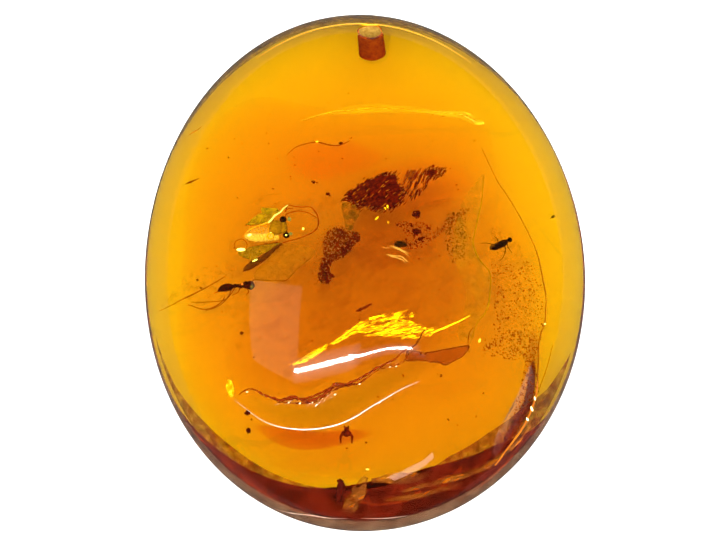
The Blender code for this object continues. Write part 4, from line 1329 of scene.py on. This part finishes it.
def bark_fibres(char):
    """Bark that split along its grain: a dense mass, a streaky middle and a toothed tip."""
    rng = random.Random(11)
    places, kinds = [], []
    for x, y in chance_points(rng, BARK_MAIN, 520):
        if rng.random() < 0.985 and not within(BARK_GAP, x, y):
            places.append(placed(rng, x, y, 5.0 + rng.uniform(-0.05, 0.3), 0.075, long=3.2,
                                 turn=34 + 8 * (x - 0.9) + rng.uniform(-18, 18)))
            kinds.append(either(rng, 0.7))
    for x, y in BARK_MAIN:
        for _ in range(5):
            places.append(placed(rng, x + rng.uniform(-0.2, 0.2), y + rng.uniform(-0.2, 0.2),
                                 5.1 + rng.uniform(-0.1, 0.1), 0.05, long=3.5, turn=40))
            kinds.append(0)
    for x, y in chance_points(rng, BARK_RIGHT, 560):
        across = x * math.sin(1.1) - y * math.cos(1.1)
        along = x * math.cos(1.1) + y * math.sin(1.1)
        if noise.noise(Vector((across * 5.5, along * 1.1, 0.7))) > -0.12:
            places.append(placed(rng, x, y, 5.05 + rng.uniform(-0.1, 0.2), 0.045, long=4.2,
                                 turn=62 + rng.uniform(-12, 12)))
            kinds.append(either(rng, 0.6))
    for x, y in chance_points(rng, BARK_TIP, 240, lambda x, y: 1.0 if within(BARK_TIP_CORE, x, y) else 0.45):
        places.append(placed(rng, x, y, 5.1 + rng.uniform(-0.1, 0.15), 0.05, long=1.8, turn=50))
        kinds.append(either(rng, 0.7))
    rust = dry_material("rusty_bark", 0.25, ("#5E1804", "#A04008"), 0.7, 0.05)
    scattered("bark_flake_fibres", splinter(), places, "bark", char, rust, nodes=("bark_flake",), kinds=kinds)


def bark_splits():
    """Resin in the splits between the fibres, painted bright gold for the light that shines through them."""
    rng = random.Random(12)
    places = []
    for region, count, z, long, turn in ((BARK_RIGHT, 46, 5.25, 6, 64), (BARK_MAIN, 26, 5.42, 4, 38)):
        for x, y in chance_points(rng, region, count):
            places.append(placed(rng, x, y, z, 0.035, long=long, turn=turn, flat=0.4))
    scattered("bark_flake_gold_splits", splinter(), places, "bark",
              dry_material("resin_split_painted_glint", 0.2, ("#E08A10", "#FFB830"), 0.3))


BARK_MAIN = [
    (-1.57, 4.28), (-1.12, 4.93), (-0.37, 5.45), (0.14, 5.78), (0.9, 6.04), (1.4, 6.33), (1.65, 6.17),
    (2.03, 6.24), (2.41, 6.33), (2.54, 5.78), (2.79, 5.26), (2.98, 4.67), (2.91, 4.08), (2.41, 3.76),
    (1.91, 3.56), (1.4, 3.54), (0.9, 3.56), (0.27, 3.63), (-0.37, 3.63), (-0.56, 3.89), (-1.06, 4.08)
]
BARK_GAP = [(0.75, 4.65), (1.0, 4.95), (1.45, 5.05), (1.5, 4.8), (1.1, 4.6)]
BARK_RIGHT = [
    (2.91, 5.65), (3.16, 6.44), (3.67, 6.5), (4.17, 6.7), (4.54, 6.64), (4.54, 6.18), (4.92, 5.79),
    (4.67, 5.26), (4.17, 4.74), (3.67, 4.34), (3.29, 4.67), (3.04, 5.13)
]
BARK_TIP = [
    (4.54, 6.64), (5.11, 6.97), (5.67, 6.77), (6.1, 6.84), (6.17, 6.51), (5.92, 6.18), (5.42, 5.85),
    (4.92, 5.79), (4.54, 6.18)
]
BARK_TIP_CORE = [(4.75, 6.5), (5.05, 6.7), (5.3, 6.5), (5.5, 6.45), (5.2, 6.2), (4.85, 6.25)]


def drift_density(x, y):
    """How closely the crumbs lie, from 0 to 1: packed along the spine of the drift, and in clumps."""
    near = min(math.hypot(x - a, y - b) for a, b in DRIFT_SPINE)
    clump = noise.noise(Vector((x * 5, y * 5, 2.0))) + 1.1 * noise.noise(Vector((x * 16, y * 16, 5.0)))
    return (0.35 + 0.65 * math.exp(-(near / 0.4) ** 2)) * min(1.0, max(0.04, 0.55 + 1.8 * clump))


def crumb_patch():
    """A curved drift of crumbs: loose and speckled at the upper left, packed along its right edge."""
    rng = random.Random(21)
    # Rotten wood ground fine: matt, and from near black to olive.
    dark = dry_material("dark_crumb", 0.1, ("#440C02", "#762004"), 0.75)
    brown = dry_material("brown_crumb", 0.1, ("#742A04", "#A04C08"), 0.75)
    olive = dry_material("olive_crumb", 0.1, ("#5E4A04", "#8A6E10"), 0.75)
    places, kinds = [], []
    for x, y in chance_points(rng, DRIFT, 3600, drift_density):
        near = drift_density(x, y)
        size = rng.uniform(0.018, 0.04) * (1.0 + 0.8 * near * rng.random())
        places.append(placed(rng, x, y, 4.75 + rng.uniform(-0.2, 0.3), size, long=1.3, turn=55))
        kinds.append(rng.choices((0, 1, 2), (1.6 * near if x > -1.9 or y < -0.4 else 0.12, 0.55, 0.12))[0])
    for x, y in chance_points(rng, DRIFT_HALO, 260):
        places.append(placed(rng, x, y, 4.7 + rng.uniform(-0.2, 0.3), rng.uniform(0.02, 0.035)))
        kinds.append(rng.choice((1, 2)))
    scattered("crumb_patch_crumbs", pebble(), places, "bark", dark, brown, olive, nodes=("crumb_patch",),
              kinds=kinds)


DRIFT = [
    (-2.51, 2.05), (-1.75, 2.24), (-1.44, 1.85), (-0.37, 1.72), (-0.39, 1.14), (-1.0, 0.62), (-1.12, 0.24),
    (-1.62, -0.15), (-2.5, -0.53), (-2.69, -1.3), (-2.25, -1.63), (-2.75, -2.2), (-3.37, -2.13),
    (-3.56, -1.56), (-3.38, -0.66), (-3.13, -0.02), (-3.2, 1.02), (-2.88, 1.79)
]
DRIFT_SPINE = [
    (-0.6, 1.6), (-0.7, 1.2), (-1.3, 0.6), (-1.6, 0.2), (-2.1, -0.1), (-2.6, -0.4), (-2.9, -0.8),
    (-3.1, -1.3), (-3.0, -1.7), (-2.6, -1.5), (-2.9, -2.0), (-2.2, 1.0), (-1.9, 1.5)
]
DRIFT_HALO = [
    (-3.6, 1.6), (-2.6, 2.3), (-1.2, 2.3), (-1.0, 1.9), (-3.0, 0.6), (-3.3, -1.0), (-2.6, -2.3),
    (-3.8, -2.3), (-4.0, -1.2), (-3.7, 0.2)
]


def loose_crumbs():
    """Bark crumbs right of the middle, with finer ones round them, and the lone grains."""
    rng = random.Random(31)
    dark = dry_material("dark_bark_crumb", 0.12, ("#380A02", "#6A1C04"), 0.75)
    for name, (x, y, z), (rx, ry, rz), turn in CRUMBS:
        bm = bmesh.new()
        for k, a in enumerate(circle(16)):
            out = rng.uniform(0.5, 0.95)
            size = rng.uniform(0.15, 0.38)
            ball(bm, (x + rx * out * math.cos(a), y + ry * out * math.sin(a), z),
                 (rx * size * 1.4, ry * size, rz * size), turn=rng.uniform(0, 180), detail=2,
                 rough=(0.12, 0.06), seed=k)
        ball(bm, (x, y, z), (rx * 0.62, ry * 0.62, rz), turn=turn, detail=4, rough=(0.18, 0.16), seed=turn)
        piece(bm, name + "_lump", "bark" if "bark" in name else "dirt", dark, nodes=(name,))
    places, kinds = [], []
    for x, y, size in SMALL_CRUMBS:
        for _ in range(5):
            near_x = x + rng.uniform(-1, 1) * size * 0.6
            near_y = y + rng.uniform(-1, 1) * size * 0.6
            places.append(placed(rng, near_x, near_y, 5.4, size * 0.5))
            kinds.append(0)
    for x, y in chance_points(rng, CRUMB_FIELD, 230):
        places.append(placed(rng, x, y, 5.4 + rng.uniform(-0.3, 0.2), rng.uniform(0.02, 0.065)))
        kinds.append(1)
    brown = dry_material("fine_brown_crumb", 0.1, ("#6A1C04", "#983C0A"), 0.75)
    scattered("loose_crumbs", pebble(), places, "dirt", dark, brown, kinds=kinds)


# Each crumb: its name, its middle, its half sizes and its turn in degrees.
CRUMBS = [
    ("bark_crumb_1", (3.92, 3.08, 5.4), (0.32, 0.27, 0.2), 20),
    ("bark_crumb_2", (3.88, 1.72, 5.4), (0.28, 0.26, 0.15), 60),
    ("bark_crumb_3", (4.18, 1.16, 5.4), (0.18, 0.14, 0.15), -20),
    ("grain_1", (-1.85, 8.6, 5.8), (0.15, 0.12, 0.1), 0),
    ("grain_2", (-3.88, 5.54, 5.8), (0.11, 0.1, 0.1), 0),
    ("grain_3", (-9.2, -6.04, 5.4), (0.13, 0.11, 0.1), 0),
    ("grain_4", (-8.72, -12.08, 5.4), (0.19, 0.16, 0.15), 0),
    ("grain_5", (-8.66, -13.36, 5.2), (0.18, 0.2, 0.15), 0),
    ("grain_6", (-2.83, 4.63, 5.6), (0.11, 0.1, 0.1), 0),
]
# Each small crumb: its place and its size.
SMALL_CRUMBS = [
    (2.47, 2.23, 0.12), (2.72, 2.17, 0.08), (2.94, 2.24, 0.09), (3.48, 2.24, 0.17), (3.29, 1.78, 0.1),
    (4.77, 2.02, 0.13), (4.4, 1.25, 0.12), (3.85, 1.01, 0.12), (3.41, 0.68, 0.1), (4.41, 0.94, 0.1),
    (3.75, 0.75, 0.08), (-4.0, 5.62, 0.08), (-2.65, 4.55, 0.08), (5.72, -9.28, 0.11), (6.22, -12.62, 0.1),
    (-10.34, 7.69, 0.09), (-12.6, -1.9, 0.1), (-12.3, -2.5, 0.1), (-8.45, -12.6, 0.1), (8.8, -10.6, 0.09)
]
CRUMB_FIELD = [(2.2, 2.5), (3.9, 2.6), (5.0, 2.2), (5.0, 0.9), (3.9, 0.3), (2.9, 0.5), (3.0, 1.6)]


def seed_husk():
    """A dark ribbed husk with a fringe of hairs."""
    x, y, z = 2.7, 0.74, 5.4
    bm = bmesh.new()
    verts = ball(bm, (x, y, z), (0.5, 0.24, 0.18), turn=-8, detail=4)
    for v in verts:
        v.co.z += 0.05 * math.sin(14 * (v.co.y - y))
    roughen(verts, 0.25, 0.05)
    for k in range(9):
        root = Vector((x - 0.45 + 0.11 * k, y, z))
        tube(bm, [root + Vector((0, 0.16, 0.06)), root + Vector((0.03, 0.28, 0.05)),
                  root + Vector((0.05, 0.36 + 0.03 * (k % 3), 0))], [0.03, 0.02, 0.01], sides=5)
    # Dry husk: dark, a little waxy, so smoother than the bark.
    piece(bm, "seed_husk_shell", "bark", dry_material("dark_green_husk", 0.15, ("#1C1604", "#5A3A08"), 0.5),
          nodes=("seed_husk",))


def twigs():
    """A short knobbly rod of wood below the husk, and a thin splinter near the left rim."""
    wood = dry_material("brown_splinter", 0.2, ("#5A1C04", "#8A3A08"), 0.7)
    bm = bmesh.new()
    rod = [(-0.64, -4.42, 5.4), (-0.3, -4.28, 5.42), (0.05, -4.12, 5.43), (0.49, -3.84, 5.4)]
    strand(bm, rod, [0.06, 0.13, 0.1, 0.12, 0.05], parts=4, sides=9, flat=0.8, rough=(0.2, 0.05))
    for dx in (0.1, 0.5, 0.8):
        tube(bm, [Vector((-0.6 + dx, -4.45 + dx * 0.5, 5.45)), Vector((-0.5 + dx, -4.5 + dx * 0.5, 5.47))],
             [0.03, 0.015], sides=5)
    piece(bm, "twig_rod_wood", "bark", wood, nodes=("twig_rod",))
    bm = bmesh.new()
    strand(bm, [(-13.67, 5.87, 4.55), (-13.1, 6.03, 4.58), (-12.53, 6.23, 4.55)], [0.04, 0.08, 0.05, 0.02],
           parts=4, sides=8, flat=0.8, rough=(0.25, 0.03))
    piece(bm, "twig_splinter_wood", "bark", wood, nodes=("twig_splinter",))


def bark_fleck():
    """The dark scrap in the bottom edge, with a shard that runs on under the polish."""
    bm = bmesh.new()
    fleck = [(-1.9, -16.95, 4.6), (-1.72, -17.45, 4.5), (-1.8, -17.9, 4.4), (-2.1, -18.3, 4.3)]
    strand(bm, fleck, [0.12, 0.28, 0.34, 0.3, 0.2], sides=12, flat=0.8, rough=(0.25, 0.12))
    strand(bm, lifted([(-1.8, -17.4), (-1.75, -17.8), (-1.95, -18.4), (-2.0, -19.0)], -0.25),
           [0.06, 0.2, 0.14, 0.22, 0.08], sides=10, flat=0.5, rough=(0.25, 0.1))
    piece(bm, "bark_fleck_scrap", "bark", dry_material("dark_fleck", 0.2, ("#3A0602", "#5A1002"), 0.8),
          nodes=("bark_fleck",))


def dust():
    """Fine dust along the flow seam, the speckle cloud and the stray motes."""
    rng = random.Random(41)
    brown = dry_material("brown_dust", 0.1, ("#7A3604", "#A85C0C"), 0.8)
    olive = dry_material("olive_dust", 0.1, ("#5A3E04", "#84600C"), 0.8)
    places, kinds = [], []
    for region, count, low, high, kind in DUST:
        for x, y in chance_points(rng, region, count):
            places.append(placed(rng, x, y, rng.uniform(low, high), rng.uniform(0.02, 0.055), long=1.6))
            kinds.append(kind)
    scattered("dust_motes", pebble(), places, "dirt", brown, olive, kinds=kinds)


# Each cloud: its outline, how many motes, its bottom and top, and 0 for brown or 1 for olive dust.
DUST = [
    ([(9.4, -0.6), (12.8, -0.4), (13.5, -3.0), (13.3, -7.4), (11.5, -7.7), (9.6, -7.4)], 420, 4.6, 5.6, 0),
    ([(9.0, -6.2), (11.4, -5.8), (13.2, -6.4), (13.0, -7.8), (10.6, -8.0), (8.7, -7.5)], 260, 4.8, 5.4, 0),
    ([(12.0, -7.6), (13.1, -7.6), (13.1, -11.5), (11.4, -14.0), (10.6, -13.4), (11.6, -10.4)],
     320, 4.6, 5.4, 0),
    ([(6.2, 3.1), (7.5, 3.3), (7.7, 1.6), (7.5, -0.5), (6.6, -0.7), (6.0, 0.8)], 330, 5.3, 5.7, 1),
    ([(5.6, 2.2), (7.4, 3.6), (7.9, 3.5), (6.4, 2.0), (4.8, 0.9), (4.6, 1.2)], 160, 5.3, 5.6, 0),
    ([(-12.0, 11.0), (0.0, 13.0), (9.0, 10.0), (12.0, -2.0), (8.0, -13.0), (-6.0, -14.0), (-12.0, -6.0)], 130,
     3.6, 6.0, 0),
]


def pale_glints():
    """Painted highlights that glow: curled pale strokes by the husk, and the small bright cracks that catch
    the light.
    """
    # Painted highlights of clear splits full of air: near white, drawn violet so that they come out pale
    # through amber.
    bm = bmesh.new()
    for line, radii in PALE_GLINT_STROKES:
        strand(bm, lifted(line, 6.5), radii, sides=8, flat=0.3, rough=(0.25, 0.03))
    piece(bm, "pale_glint_strokes", "amber", painted_glint_material("painted_pale_glint", "#B08CE0", 1.7))
    bm = bmesh.new()
    for x, y, z, wide, deep, turn in BRIGHT_SPOTS:
        ball(bm, (x, y, z), (wide, deep, 0.03), turn=turn, detail=2, rough=(0.1, 0.02))
    piece(bm, "bright_spots", "amber", painted_glint_material("bright_crack_spot", "#FFE9A0", 1.6))
    bm = bmesh.new()
    strand(bm, [(5.5, -17.3, 6.2), (6.4, -17.15, 6.0), (7.4, -16.9, 5.8)], [0.02, 0.05, 0.03], parts=4)
    piece(bm, "orange_glint", "amber", painted_glint_material("orange_crack_glint", "#FF9A20", 1.6))


PALE_GLINT_STROKES = [
    ([(1.9, 0.46), (2.3, 0.36), (2.75, 0.16), (3.29, -0.12)], [0.01, 0.04, 0.05, 0.04, 0.01]),
    ([(2.1, 0.3), (2.5, 0.2), (2.9, 0.0), (3.35, -0.35)], [0.01, 0.03, 0.06, 0.03, 0.01]),
    ([(1.59, -0.19), (2.15, -0.32), (2.78, -0.38), (3.28, -0.83)], [0.01, 0.05, 0.03, 0.05, 0.01]),
    ([(1.8, -0.3), (2.3, -0.45), (2.8, -0.6), (3.1, -0.9)], [0.01, 0.03, 0.04, 0.03, 0.01]),
    ([(1.35, 0.3), (1.6, 0.3), (1.9, 0.33)], [0.01, 0.025, 0.01]),
]
# Each spot: its middle, its half sizes and its turn in degrees.
BRIGHT_SPOTS = [
    (0.9, 2.74, 5.5, 0.2, 0.05, 45), (1.72, 3.65, 5.6, 0.06, 0.14, 10), (1.55, 3.5, 5.6, 0.05, 0.12, 30),
    (1.75, 2.42, 5.5, 0.04, 0.09, 0), (-3.64, 8.75, 5.8, 0.12, 0.06, 0), (8.6, -6.8, 6.6, 0.08, 0.16, -20),
    (13.72, -5.32, 5.7, 0.07, 0.07, 0), (13.0, -11.1, 5.7, 0.06, 0.16, 10),
    (12.75, -11.9, 5.7, 0.07, 0.2, 20), (12.4, -12.7, 5.7, 0.06, 0.16, 30),
    (0.19, -16.51, 6.1, 0.14, 0.05, 0)
]


def bottom_facets():
    """Lighter layers of resin that run into the lower end, and painted highlights along its edge."""
    bm = bmesh.new()
    for seed, (line, radii) in enumerate(BOTTOM_STREAKS):
        strand(bm, lifted(line, -0.3), radii, sides=10, flat=0.12, rough=(0.6, 0.08), seed=seed)
    # Milky resin, drawn out along the flow.
    milky = veil_material("cloudy_resin_streak", ("#B4640A", "#7E3204"), 0.9, 0.1, 0.9, lean=35, long=2.5)
    piece(bm, "bottom_streaks", "amber", milky)
    # Painted highlights: thin white lines where the lower edge catches the light.
    bm = bmesh.new()
    for line in LOWER_LINES:
        strand(bm, lifted(line, -0.03), [0.004, 0.02, 0.025, 0.02, 0.004])
    piece(bm, "lower_edge_highlights", "amber", dry_material("painted_edge_highlight", 0.2, ("#F0E0D0", "#C8A890"), 0.7))


LOWER_LINES = [
    [(-7.4, -19.1), (-5.8, -19.65), (-4.2, -19.9), (-2.7, -20.15), (-1.28, -20.22)],
    [(-0.3, -20.2), (1.6, -20.2), (3.2, -20.0)],
]
BOTTOM_STREAKS = [
    ([(0.08, -17.2), (-0.44, -18.2), (-1.05, -19.2), (-1.5, -19.8)], [0.2, 0.55, 0.6, 0.3]),
    ([(0.53, -17.5), (2.04, -17.3), (3.55, -17.25), (4.9, -16.95)], [0.15, 0.42, 0.42, 0.1]),
    ([(2.8, -18.25), (4.9, -17.65), (7.2, -17.0), (9.36, -16.1), (10.5, -15.15)],
     [0.08, 0.22, 0.3, 0.3, 0.1]),
    ([(1.44, -18.9), (3.4, -18.6), (5.68, -18.05), (7.36, -17.5)], [0.05, 0.3, 0.22, 0.05]),
    ([(10.5, -15.3), (11.7, -14.0), (12.8, -12.6)], [0.2, 0.35, 0.15]),
]


# ---------------------------------------------------------------- the peg hole

def peg_hole_line():
    """The middle of the hole's mouth on the polish, and the direction that the drill took."""
    return at_surface(*HOLE_MOUTH), Vector(HOLE_LEAN).normalized()


def peg_hole_cutter(mat):
    """The drill's form: a cylinder that stands out of the mouth, with a blunt end."""
    mouth, inward = peg_hole_line()
    overrun = 2.0
    chamfer = 0.25 * MM
    length = HOLE_DEPTH + overrun
    bm = bmesh.new()
    bmesh.ops.create_cone(bm, cap_ends=True, segments=64, radius1=HOLE_RADIUS, radius2=HOLE_RADIUS,
                          depth=length)
    turn = inward.to_track_quat("Z", "Y").to_matrix().to_4x4()
    place = Matrix.Translation(mouth + inward * (length / 2 - overrun)) @ turn
    bmesh.ops.transform(bm, matrix=Matrix.Scale(MM, 4) @ place, verts=bm.verts)
    far = [f for f in bm.faces if f.normal.dot(inward) > 0.99]
    bmesh.ops.inset_region(bm, faces=far, thickness=chamfer, depth=chamfer)
    return object_from(bm, "peg_hole_cutter", mat)


def drilled_wall():
    """The frosted skin that a drill leaves, on both sides of the hole's wall."""
    mouth, inward = peg_hole_line()
    side = inward.cross(Vector((1, 0, 0))).normalized()
    across = inward.cross(side)

    def ring(depth, radius):
        spots = []
        for a in circle(64):
            spot = mouth + inward * depth + (side * math.cos(a) + across * math.sin(a)) * radius
            low = front_height(spot.x, spot.y) - 0.03
            if spot.z > low:
                spot += inward * ((spot.z - low) / -inward.z)
            spots.append(spot)
        return spots

    steps = (0.0, 0.5, 1.0, 1.5, 2.0, 2.5)
    outer = [ring(depth, HOLE_RADIUS + 0.06) for depth in (*steps, HOLE_DEPTH)]
    outer += [ring(HOLE_DEPTH + 0.22, HOLE_RADIUS * 0.8), ring(HOLE_DEPTH + 0.3, HOLE_RADIUS * 0.3)]
    inner = [ring(depth, HOLE_RADIUS - 0.05) for depth in (*steps, HOLE_DEPTH - 0.1)]
    inner += [ring(HOLE_DEPTH + 0.05, HOLE_RADIUS * 0.7), ring(HOLE_DEPTH + 0.1, HOLE_RADIUS * 0.25)]
    bm = bmesh.new()
    bridge_rings(bm, outer[::-1] + inner)
    for face in bm.faces:
        middle = face.calc_center_median() - mouth
        depth = middle.dot(inward)
        away = (middle - inward * depth).length
        face.material_index = 1 if away < HOLE_RADIUS and depth < HOLE_DEPTH + 0.12 else 0
    # Drilled amber is scratched white. Through the stone it reads dark red, and from the mouth pale.
    outside = dry_material("drilled_amber_wall", 0.3, ("#8A2C04", "#AE4C08"), 0.8)
    inside = dry_material("frosted_drill_cut", 0.2, ("#86601C", "#B08A3A"), 0.8)
    piece(bm, "peg_hole_wall", "amber", outside, inside)


# ---------------------------------------------------------------- the studio

def mirrored_rays(tree):
    """1 for rays mirrored by a polished surface, 0 for all others."""
    rays = add_node(tree, "ShaderNodeLightPath")
    mirrored = add_node(tree, "ShaderNodeMath", [(0, rays.outputs["Is Glossy Ray"]),
                                                 (1, rays.outputs["Is Transmission Ray"])],
                        operation="SUBTRACT", use_clamp=True)
    return mirrored.outputs[0]


def white_floor():
    """The white card that the drop lies on, which its polish hardly mirrors."""
    bm = bmesh.new()
    bmesh.ops.create_grid(bm, x_segments=1, y_segments=1, size=1.0)
    bmesh.ops.translate(bm, verts=bm.verts, vec=(0, 0, -0.0001))
    mat, tree, shader, _ = new_material("white_card")
    shader.inputs["Roughness"].default_value = 0.9
    shade = add_node(tree, "ShaderNodeMix", [(0, mirrored_rays(tree))], data_type="FLOAT")
    shade.inputs[2].default_value = CARD_WHITE
    shade.inputs[3].default_value = CARD_IN_POLISH
    tree.links.new(shade.outputs[0], shader.inputs["Base Color"])
    object_from(bm, "floor", mat, smooth=False)


def studio_world():
    """A white surround, brighter high up, and dim where the polish mirrors it."""
    world = bpy.data.worlds.new("studio")
    bpy.context.scene.world = world
    world.use_nodes = True
    tree = world.node_tree
    back = tree.nodes["Background"]
    back.inputs["Color"].default_value = (1, 1, 1, 1)
    place = add_node(tree, "ShaderNodeTexCoord")
    axes = add_node(tree, "ShaderNodeSeparateXYZ", [(0, place.outputs["Generated"])])
    sky = add_node(tree, "ShaderNodeMapRange", [("Value", axes.outputs["Z"])],
                   interpolation_type="SMOOTHSTEP", From_Min=SKY[0], From_Max=SKY[1],
                   To_Min=SKY[2], To_Max=SKY[3])
    rays = add_node(tree, "ShaderNodeLightPath")
    dim = add_node(tree, "ShaderNodeMix", [(0, mirrored_rays(tree)), (2, sky.outputs[0])], data_type="FLOAT")
    dim.inputs[3].default_value = SKY_IN_POLISH
    seen = add_node(tree, "ShaderNodeMix", [(0, rays.outputs["Is Camera Ray"]), (2, dim.outputs[0])],
                    data_type="FLOAT")
    seen.inputs[3].default_value = 1.0
    tree.links.new(seen.outputs[0], back.inputs["Strength"])


def softbox(name, centre, size, turn, colour, glow):
    """A lamp high above the drop that shows only in its polish; glow is its radiance."""
    data = bpy.data.lights.new(name, "AREA")
    data.shape = "RECTANGLE"
    data.size = size[0] * MM
    data.size_y = size[1] * MM
    data.color = linear(colour)[:3]
    data.energy = glow * 4 * data.size * data.size_y
    ob = bpy.data.objects.new(name, data)
    bpy.context.scene.collection.objects.link(ob)
    ob.location = Vector((*centre, LAMP_HEIGHT)) * MM
    ob.rotation_euler = (0, 0, math.radians(turn))
    ob.visible_camera = False
    ob.visible_diffuse = False
    ob.visible_transmission = False
    ob.visible_volume_scatter = False


def strip_lamp():
    """A bright strip in two lengths; the boxes nested round it make its soft glow."""
    softbox("strip_left", (-72.5, -58.1), (100.0, 6.5), 14, "#FFFFFF", 45)
    softbox("strip_right", (16.0, -46.5), (92.0, 5.0), -3, "#FFFFFF", 40)
    for k in range(10):
        grow = 0.6 + 0.17 * k * k
        glow = 3.2 - 0.29 * k
        softbox("strip_glow_%d" % k, (-70.0, -58.0), (96.0 + 2 * grow, 6.5 + 2 * grow), 14, "#FFF4EC", glow)
        softbox("strip_end_%d" % k, (16.0, -47.5), (88.0 + 2 * grow, 5.0 + 1.2 * grow), -3, "#FFF4EC",
                0.7 * glow)


def window_and_low_lamp():
    """A dim window, brightest at its upper left, and a small lamp that shows near the lower end."""
    for k in range(8):
        wide = 140.0 - 12.0 * k
        tall = 138.0 - 9.0 * k
        softbox("window_%d" % k, (-246.0 + wide / 2, -78.0 + 9.0 * k + tall / 2), (wide, tall), -8,
                "#FFF6DC", 0.62)
    for k in range(5):
        softbox("low_lamp_%d" % k, (110.0, -279.0), (134.0 - 16 * k, 44.0 - 9 * k), 35, "#FFF6F0", 3.4)


def camera():
    """A long lens high over the drop."""
    data = bpy.data.cameras.new("camera")
    ob = bpy.data.objects.new("camera", data)
    bpy.context.scene.collection.objects.link(ob)
    bpy.context.scene.camera = ob
    height = math.radians(CAMERA_HEIGHT)
    back = Vector((0, -math.cos(height), math.sin(height)))
    ob.location = (Vector(CAMERA_AIM) + back * CAMERA_AWAY) * MM
    ob.rotation_mode = "QUATERNION"
    ob.rotation_quaternion = (-back).to_track_quat("-Z", "Y")
    data.lens = CAMERA_LENS
    data.sensor_width = 36.0
    data.clip_start = 0.001
    data.shift_x, data.shift_y = CAMERA_SHIFT


def studio():
    """Camera, surround, lamps and card, with enough bounces for clear layers inside one another."""
    scene = bpy.context.scene
    scene.view_settings.view_transform = "Standard"
    scene.cycles.max_bounces = 24
    scene.cycles.transmission_bounces = 24
    scene.cycles.glossy_bounces = 24
    scene.cycles.diffuse_bounces = 4
    scene.cycles.transparent_max_bounces = 32
    camera()
    studio_world()
    strip_lamp()
    window_and_low_lamp()
    white_floor()


def main():
    """The studio, then the drop, then what is in it."""
    studio()
    amber_drop()
    drilled_wall()
    resin_layers()
    brown_wedge()
    olive_patch()
    painted_rim_bands()
    rim_gleam()
    hazy_middle()
    olive_veil()
    flow_seams()
    top_arc()
    left_film()
    chip_lip()
    chip_undercut()
    chip_shade()
    crack_lines()
    chip_sparks()
    golden_films()
    gold_sparks()
    yellow_nick()
    winged_insect_body()
    winged_insect_feelers()
    wings()
    wing_edge()
    wing_blade()
    bubble_and_ring()
    insect_glints()
    wasp_body()
    wasp_limbs()
    midge()
    spider()
    tiny_fly()
    bark_fibres(bark_core())
    bark_splits()
    crumb_patch()
    loose_crumbs()
    seed_husk()
    twigs()
    bark_fleck()
    dust()
    pale_glints()
    bottom_facets()


main()
